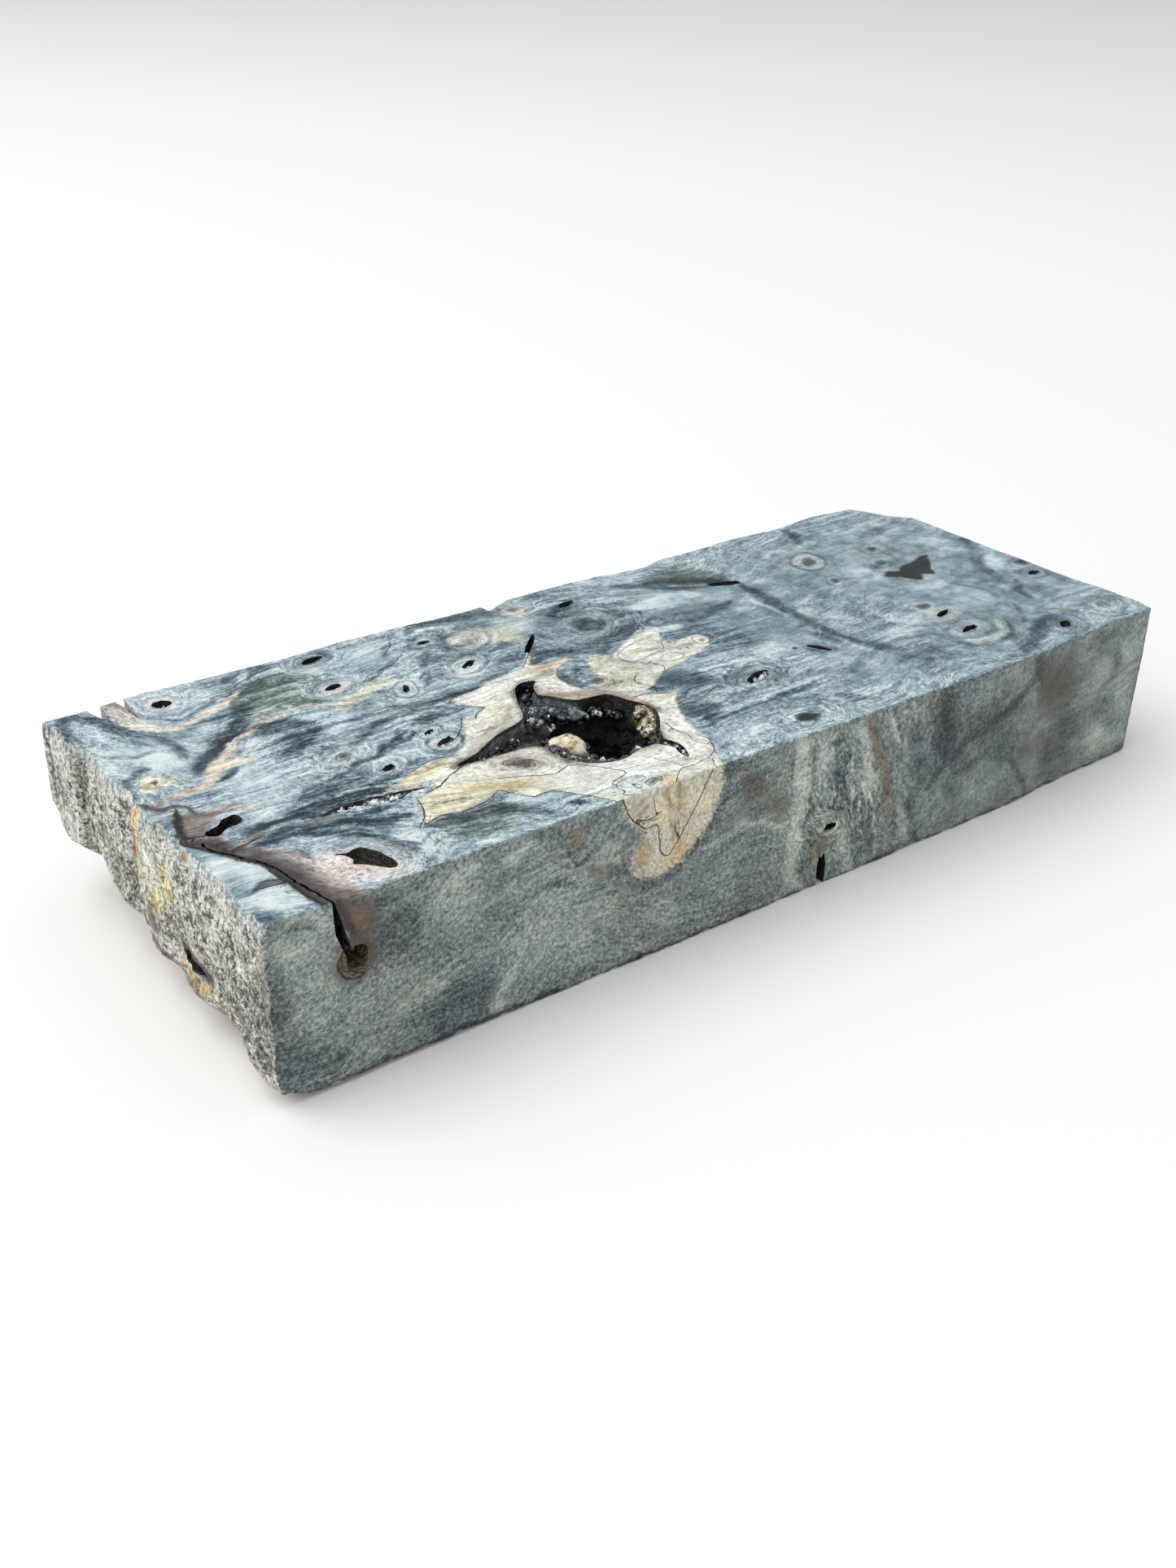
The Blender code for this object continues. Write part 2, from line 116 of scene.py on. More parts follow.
# Longer openings in the top: outline, then depth; the last is a seam filled with grit
openSlots = ((((-57.6, -19.3), (-56.6, -19.7), (-55.6, -19.5), (-54.5, -19.9), (-53.7, -21.1), (-53.2, -22.8),
               (-53.1, -24.6), (-53.8, -25.1), (-54.6, -24.7), (-55.4, -23.6), (-56.0, -22.8), (-57.0, -22.1),
               (-56.4, -21.2), (-56.9, -20.4)), 2.6),
             (((-66.6, -8.6), (-66.2, -7.6), (-64.8, -7.0), (-63.6, -6.2), (-62.4, -6.0), (-61.8, -7.2),
               (-62.8, -8.1), (-63.8, -8.2), (-64.8, -8.6), (-65.6, -9.0)), 2.6),
             (((-54.8, -11.8), (-53.2, -11.2), (-51.0, -11.0), (-48.8, -10.9), (-46.8, -11.3), (-44.6, -11.8),
               (-42.0, -12.6), (-44.4, -12.7), (-46.4, -13.2), (-48.2, -13.0), (-50.0, -12.2),
               (-52.4, -11.9)), 0.6))

# Pits in the upright faces: place along and up the face, size along and up, depth
frontPits = ((-59.8, 15.1, 2.6, 2.8, 4.6), (6.6, 1.3, 1.5, 6.6, 4.0), (7.4, 8.2, 1.9, 0.9, 1.0))
leftPits = ((-10.2, 9.1, 6.0, 1.6, 2.4), (4.2, 17.7, 1.4, 4.2, 1.4))

# Chips out of the back edge and the lost back right corner: outline from above, then its lowest level
backChips = ((((-65.3, 29.5), (-64.9, 25.2), (-64.2, 23.4), (-63.6, 24.6), (-63.3, 29.5)), 7.0),
             (((-61.5, 29.5), (-61.1, 25.0), (-60.7, 22.0), (-60.4, 25.0), (-60.1, 29.5)), 3.0),
             (((-8.4, 29.5), (-8.1, 26.4), (-7.8, 25.0), (-5.6, 26.0), (-2.8, 27.4), (-2.6, 29.5)), 11.0),
             (((63.2, 29.5), (64.0, 27.2), (65.5, 25.0), (67.0, 21.5), (69.7, 18.5), (72.5, 16.0),
               (73.0, 29.5)), -1.2))
# Pits: how ragged their outlines are, and how they narrow as (share of the depth, share of the outline)
pitForm = {
    "wobble": 0.36, "wobbleSize": 1.1, "sides": 14, "lip": 0.05,
    "narrowing": ((0.3, 0.93), (0.7, 0.72), (1.0, 0.35)),
}
# How far the noise pushes the walls of each kind of opening
wallPush = {"pits": 0.22, "slots": 0.25, "front": 0.12, "left": 0.15, "chips": 0.12}
overshoot = 1.2                   # how far a tool stands out of the face that it cuts
woodFinish, liningFinish, lumpFinish = 0, 1, 2
noiseShifts = (0.0, 31.0, 57.0)   # apart enough for the noise along x, y and z to differ


def deselectAll():
    if bpy.context.object and bpy.context.object.mode != "OBJECT":
        bpy.ops.object.mode_set(mode="OBJECT")
    bpy.ops.object.select_all(action="DESELECT")


def makeActive(piece):
    deselectAll()
    piece.select_set(True)
    bpy.context.view_layer.objects.active = piece


# Turns every face of a closed shape outwards
def turnFacesOut(piece):
    makeActive(piece)
    bpy.ops.object.mode_set(mode="EDIT")
    bpy.ops.mesh.select_all(action="SELECT")
    bpy.ops.mesh.normals_make_consistent(inside=False)
    bpy.ops.object.mode_set(mode="OBJECT")


def readPoints(piece):
    points = np.empty(len(piece.data.vertices) * 3)
    piece.data.vertices.foreach_get("co", points)
    return points.reshape(-1, 3) / mm


def movePoints(piece, points):
    piece.data.vertices.foreach_set("co", (np.asarray(points, float) * mm).ravel())
    piece.data.update()


def applyModifier(piece, kind, **settings):
    makeActive(piece)
    bpy.ops.object.modifier_add(type=kind)
    modifier = piece.modifiers[-1]
    for setting, value in settings.items():
        setattr(modifier, setting, value)
    bpy.ops.object.modifier_apply(modifier=modifier.name)


def grainNoise(points, size, shift=0.0):
    scaled = np.asarray(points, float) / size + shift
    return np.array([noise.noise(point) for point in scaled])


# Noise summed from rows of (reach, size)
def waves(points, rows, shift=0.0):
    return sum(reach * grainNoise(points, size, shift) for reach, size in rows)


def easeStep(value):
    value = np.clip(value, 0.0, 1.0)
    return value * value * (3.0 - 2.0 * value)


def readProfile(profile, place):
    places, values = np.array(profile, float).T
    index = np.clip(np.searchsorted(places, place) - 1, 0, len(places) - 2)
    share = easeStep((place - places[index]) / (places[index + 1] - places[index]))
    return values[index] + (values[index + 1] - values[index]) * share


# Moves points of the lower left corner onto the natural edge under the end grain
def undercut(x, y, z):
    rim = readProfile(tornEnd["rim"], y)
    reach = readProfile(tornEnd["undercutReach"], y)
    across = (x + slab["length"] / 2) / reach
    up = z / rim
    depth = np.minimum(across, up)
    rest = np.maximum(1.0 - depth, 1e-6)
    onEnd = rim * (1.0 - (up - depth) / rest)
    onBase = rim + reach * (across - depth) / rest
    share = np.where(across <= up, onEnd, onBase) / (rim + reach)
    atFront, added = tornEnd["undercutFullness"]
    fullness = atFront + added * (y + slab["width"] / 2) / slab["width"]
    curveX = 2 * share * (1 - share) * fullness * reach + share ** 2 * reach
    curveZ = (1 - share) ** 2 * rim + 2 * share * (1 - share) * fullness * rim
    newX = curveX + (reach - curveX) * depth - slab["length"] / 2
    newZ = curveZ + (rim - curveZ) * depth
    inside = (across < 1.0) & (up < 1.0)
    return np.where(inside, newX, x), np.where(inside, newZ, z)


def endRelief(y, z):
    relief = readProfile(tornEnd["relief"], y)
    for reach, size, squeeze, shift in tornEnd["waves"]:
        relief += reach * grainNoise(np.stack((np.full_like(y, shift), y, z * squeeze), 1), size)
    rolled = np.clip((z - (slab["height"] - tornEnd["rollHeight"])) / tornEnd["rollHeight"], 0, 1)
    return relief - tornEnd["edgeRoll"] * rolled


# Saws, tears and weathers the plain slab: returns the new place of each of its points
def shapePoints(points):
    x, y, z = points.T
    halfLength, halfWidth = slab["length"] / 2, slab["width"] / 2
    across = (y + halfWidth) / slab["width"]
    alongFront = readProfile(slab["frontEdge"], x)
    alongBack = readProfile(slab["backEdge"], x)
    skin = 2 * slab["wornEdge"]
    onFront, onBack = y < -halfWidth + skin, y > halfWidth - skin
    onLeft, onRight = x < -halfLength + skin, x > halfLength - skin
    onBottom = z < skin

    newX, newZ = undercut(x, y, z)
    newY = alongFront + (alongBack - alongFront) * across
    leftShare = np.clip(1.0 - (x + halfLength) / slab["leftBlend"], 0, 1)
    rightShare = np.clip(1.0 - (halfLength - x) / slab["rightBlend"], 0, 1)
    newX -= endRelief(y, z) * leftShare
    newX += (readProfile(slab["rightEnd"], y) - halfLength) * rightShare

    fibres = points * slab["fibreStretch"]
    newX += onLeft * tornEnd["pores"] * waves(points, tornEnd["poreSizes"])
    newX += onRight * waves(points, slab["rightWaves"])
    newY += onFront * (waves(points, slab["frontWaves"]) + waves(fibres, slab["frontFibres"]))
    newY += onBack * waves(points, slab["backWaves"])
    frontShare = np.clip(1.0 - across * 6.0, 0, 1)
    ragged = np.clip(1.0 - (y + halfWidth) / slab["chipReach"], 0, 1)
    ragged *= np.maximum(0, grainNoise(points, 1.1) + 0.1)
    newZ += onBottom * (readProfile(slab["frontLift"], x) * frontShare + slab["chipLift"] * ragged)

    newX = np.clip(newX, -slab["fullLength"] / 2, slab["fullLength"] / 2)
    newY = np.clip(newY, -slab["fullWidth"] / 2, slab["fullWidth"] / 2)
    return np.stack((newX, newY, np.clip(newZ, 0, slab["height"])), 1)


def selectAlong(mesh, axis):
    bpy.ops.mesh.select_all(action="DESELECT")
    shell = bmesh.from_edit_mesh(mesh)
    for edge in shell.edges:
        step = edge.verts[1].co - edge.verts[0].co
        if abs(step[axis]) > 0.999 * step.length:
            edge.select_set(True)
    bmesh.update_edit_mesh(mesh)


# Plain slab with worn edges, cut into a fine grid, finest on the three sides that show most
def addSlab():
    deselectAll()
    size = (slab["length"] * mm, slab["width"] * mm, slab["height"] * mm)
    bpy.ops.mesh.primitive_cube_add(size=1, location=(0, 0, size[2] / 2), scale=size)
    block = bpy.context.object
    block.name = "burlBlock"
    bpy.ops.object.transform_apply(location=True, rotation=True, scale=True)
    bpy.ops.object.mode_set(mode="EDIT")
    bpy.ops.mesh.select_mode(type="EDGE")
    bpy.ops.mesh.select_all(action="SELECT")
    bpy.ops.mesh.bevel(offset=slab["wornEdge"] * mm, segments=1)
    for axis, cuts in enumerate((slab["cutsX"], slab["cutsY"], slab["cutsZ"])):
        for count in cuts:
            selectAlong(block.data, axis)
            bpy.ops.mesh.subdivide(number_cuts=count)
    bpy.ops.mesh.select_mode(type="FACE")
    bpy.ops.mesh.select_all(action="DESELECT")
    shell = bmesh.from_edit_mesh(block.data)
    for face in shell.faces:
        if face.normal.z > 0.5 or face.normal.y < -0.5 or face.normal.x < -0.5:
            face.select_set(True)
    bmesh.update_edit_mesh(block.data)
    bpy.ops.mesh.subdivide(number_cuts=1)
    bpy.ops.object.mode_set(mode="OBJECT")
    movePoints(block, shapePoints(readPoints(block)))
    return block


def smoothPath(points, parts=4, closed=True):
    points = np.array(points, float)
    count = len(points)
    spans = range(count if closed else count - 1)
    result = []
    for index in spans:
        near = range(index - 1, index + 3)
        near = [place % count if closed else min(max(place, 0), count - 1) for place in near]
        before, start, end, after = points[near]
        for share in np.arange(parts) / parts:
            result.append(0.5 * (2 * start + (end - before) * share
                                 + (2 * before - 5 * start + 4 * end - after) * share ** 2
                                 + (3 * start - before - 3 * end + after) * share ** 3))
    if not closed:
        result.append(points[-1])
    return np.array(result)


def raggedPath(outline, parts, reach):
    path = smoothPath(outline, parts)
    places = np.column_stack((path, np.zeros(len(path))))
    return path + reach * np.stack([grainNoise(places, 1.5, shift) for shift in (7.0, 43.0)], 1)


# Gives a shape the block's three finishes and says which one its faces take
def giveFinishes(piece, finish):
    piece.data.materials.clear()
    for material in toolMaterials:
        piece.data.materials.append(material)
    choice = np.broadcast_to(finish, len(piece.data.polygons)).astype(np.int32)
    piece.data.polygons.foreach_set("material_index", choice)


# A closed tool, extruded down from an outline through (height, share of the outline) levels
def addTool(outline, levels, push=0.0, finish=woodFinish):
    outline = np.array(outline, float)
    centre = outline.mean(axis=0)
    deselectAll()
    bpy.ops.mesh.primitive_circle_add(vertices=len(outline), radius=1, fill_type="NGON")
    tool = bpy.context.object
    top, share = levels[0]
    rim = centre + (outline - centre) * share
    movePoints(tool, np.column_stack((rim, np.full(len(rim), top))))
    bpy.ops.object.mode_set(mode="EDIT")
    bpy.ops.mesh.select_all(action="SELECT")
    for (height, before), (lower, after) in zip(levels, levels[1:]):
        bpy.ops.mesh.extrude_region_move(TRANSFORM_OT_translate={"value": (0, 0, (lower - height) * mm)})
        bpy.ops.transform.resize(value=(after / before, after / before, 1),
                                 center_override=(centre[0] * mm, centre[1] * mm, lower * mm))
    bpy.ops.object.mode_set(mode="OBJECT")
    turnFacesOut(tool)
    if push:
        points = readPoints(tool)
        below = (points[:, 2] < levels[1][0] - 0.01)[:, None]
        bumps = np.stack([grainNoise(points, 0.8, shift) for shift in noiseShifts], 1)
        movePoints(tool, points + below * bumps * push)
    giveFinishes(tool, finish)
    return tool


def joinTools(tools, name):
    makeActive(tools[0])
    for tool in tools[1:]:
        tool.select_set(True)
    bpy.ops.object.join()
    tools[0].name = name
    return tools[0]


# Turns a tool made facing up so that it cuts a face whose outward direction is -Y or -X
def faceTool(tool, side):
    along, up, out = readPoints(tool).T
    points = (along, -out, up) if side == "front" else (-out, along, up)
    movePoints(tool, np.stack(points, 1))
    turnFacesOut(tool)
    return tool


def pitOutline(x, y, length, width, turn):
    angles = np.arange(pitForm["sides"]) * 2 * math.pi / pitForm["sides"]
    spots = np.stack((x + 2 * np.cos(angles), y + 2 * np.sin(angles), 0 * angles), 1)
    wobble = 1.0 + pitForm["wobble"] * grainNoise(spots, pitForm["wobbleSize"])
    along, across = wobble * np.cos(angles) * length / 2, wobble * np.sin(angles) * width / 2
    turn = math.radians(turn)
    return np.stack((x + along * math.cos(turn) - across * math.sin(turn),
                     y + along * math.sin(turn) + across * math.cos(turn)), 1)


def pitLevels(face, depth):
    lower = [(face - share * depth, width) for share, width in pitForm["narrowing"]]
    return [(face + overshoot, 1.0), (face - pitForm["lip"], 1.0), *lower]


def shelfLevel(x):
    (left, high), (right, low) = hollow["floorLeft"], hollow["floorRight"]
    return high + (low - high) * (x - left) / (right - left)


# The hollow's tool: shelf, deep part and tail melted together, roughened, less the lump left standing
def addHollowTool():
    top = slab["height"] + overshoot
    rim = smoothPath(hollow["rim"], 3)
    shelf = addTool(rim, ((top, 1.0), *hollow["shelfLevels"]))
    points = readPoints(shelf)
    (middleHeight, _), (floorHeight, _) = hollow["shelfLevels"]
    floor = points[:, 2] < floorHeight + 0.5
    ledge = hollow["ledge"]
    rising = np.clip((points[floor, 1] - ledge["fromY"]) / ledge["slope"], 0, 1)
    lift = ledge["height"] * rising * (points[floor, 0] > ledge["fromX"])
    points[floor, 2] = shelfLevel(points[floor, 0]) + lift
    middle = (points[:, 2] < middleHeight + 0.5) & ~floor
    points[middle, 2] = (slab["height"] + shelfLevel(points[middle, 0])) / 2
    movePoints(shelf, points)
    deep = addTool(smoothPath(hollow["deepRim"], 4), ((top, 0.98), *hollow["deepRings"]))
    tail = addTool(smoothPath(hollow["tail"], 3), ((top, 1.0), *hollow["tailLevels"]))
    tool = joinTools([shelf, deep, tail], "hollowTool")
    applyModifier(tool, "REMESH", mode="VOXEL", voxel_size=hollow["voxel"] * mm)
    points = readPoints(tool)
    below = np.clip((slab["height"] - points[:, 2]) / 1.5, 0, 1)[:, None]
    push = np.stack([waves(points, hollow["gritSizes"], shift) for shift in noiseShifts], 1)
    movePoints(tool, points + below * push * hollow["grit"])

    deselectAll()
    bpy.ops.mesh.primitive_ico_sphere_add(subdivisions=4, radius=mm)
    lump = bpy.context.object
    points = readPoints(lump)
    shape = hollow["lump"]
    points *= (1.0 + shape["rough"] * grainNoise(points, 0.6)[:, None]) * shape["radii"]
    turned = np.array(Matrix.Rotation(math.radians(shape["turn"]), 3, "Z"))
    movePoints(lump, points @ turned.T + shape["place"])
    applyModifier(tool, "BOOLEAN", object=lump, operation="DIFFERENCE", solver="EXACT")
    bpy.data.objects.remove(lump)
    centres = np.array([face.center for face in tool.data.polygons]) / mm
    lumpGap = np.linalg.norm((centres - shape["place"]) @ turned / shape["radii"], axis=1)
    giveFinishes(tool, np.where(lumpGap < 1.0 + shape["rough"], lumpFinish, liningFinish))
    return tool


# Wedge that follows the crack and leans towards +X on its way down the front face
def addCrackTool():
    stations = smoothPath(crack, 5, closed=False)
    before, after = np.roll(stations, 1, axis=0), np.roll(stations, -1, axis=0)
    before[0], after[-1] = stations[0], stations[-1]
    sections = []
    for (x, y, width, depth, lean), back, ahead in zip(stations, before, after):
        side = np.array((ahead[1] - back[1], back[0] - ahead[0], 0.0))
        waver = 1.0 + crackForm["waver"] * noise.noise((x * 1.7, y * 1.7, 9.0))
        side *= width / 2 / np.linalg.norm(side) * waver
        rim = np.array((x, y, slab["height"]))
        sway = crackForm["sway"] * noise.noise((x, y * 1.3, 5.0))
        middle = rim + (lean * 0.45 + sway, 0, -depth * 0.5)
        root = rim + (lean, 0, -depth)
        high = rim + (0, 0, overshoot)
        upper, lower = side * crackForm["upperWidth"], side * crackForm["lowerWidth"]
        sections.append((high - upper, high + upper, middle + upper, root + lower, root - lower,
                         middle - upper))
    sections = np.array(sections)
    rings, sides = sections.shape[:2]
    deselectAll()
    bpy.ops.mesh.primitive_cylinder_add(vertices=sides, radius=mm, depth=(rings - 1) * mm)
    tool = bpy.context.object
    bpy.ops.object.mode_set(mode="EDIT")
    bpy.ops.mesh.select_mode(type="EDGE")
    selectAlong(tool.data, 2)
    bpy.ops.mesh.subdivide(number_cuts=rings - 2)
    bpy.ops.object.mode_set(mode="OBJECT")
    points = readPoints(tool)
    ring = np.rint(points[:, 2] + (rings - 1) / 2).astype(int)
    column = np.rint(np.arctan2(points[:, 1], points[:, 0]) * sides / (2 * math.pi)).astype(int) % sides
    movePoints(tool, sections[ring, column])
    turnFacesOut(tool)
    giveFinishes(tool, liningFinish)
    return tool


# Tools in three sets, cut one after the other, so that no tool of a set touches another
def addTools():
    top = slab["height"]
    fromTop = [addHollowTool()]
    for x, y, length, width, turn, depth in topPits:
        outline = pitOutline(x, y, length, width, turn)
        fromTop.append(addTool(outline, pitLevels(top, depth), wallPush["pits"], liningFinish))
    for outline, depth in openSlots:
        outline = raggedPath(outline, 3, 0.3)
        fromTop.append(addTool(outline, pitLevels(top, depth), wallPush["slots"], liningFinish))
    fromSides = []
    front, left = -slab["frontEdge"][0][1], slab["length"] / 2
    for side, pits, face in (("front", frontPits, front), ("left", leftPits, left)):
        for along, up, length, height, depth in pits:
            outline = pitOutline(along, up, length, height, 0)
            pit = addTool(outline, pitLevels(face, depth), wallPush[side], liningFinish)
            fromSides.append(faceTool(pit, side))
    for outline, lowest in backChips:
        levels = [(height, 1.0) for height in np.linspace(top + overshoot, lowest, 9)]
        fromSides.append(addTool(smoothPath(outline, 4), levels, wallPush["chips"]))
    return joinTools(fromTop, "topTools"), addCrackTool(), joinTools(fromSides, "sideTools")


def shadeSmooth(piece, degrees):
    makeActive(piece)
    bpy.ops.object.shade_smooth_by_angle(angle=math.radians(degrees))


def addBurlBlock():
    block = addSlab()
    print("slab shaped:", len(block.data.polygons), "faces")
    giveFinishes(block, woodFinish)
    for tool in addTools():
        applyModifier(block, "BOOLEAN", object=tool, operation="DIFFERENCE", solver="EXACT",
                      material_mode="TRANSFER")
        bpy.data.objects.remove(tool)
        print("cut, now", len(block.data.polygons), "faces")
    shadeSmooth(block, 40)
    print("hollow, crack, pits and chips cut:", len(block.data.polygons), "faces")
    return block


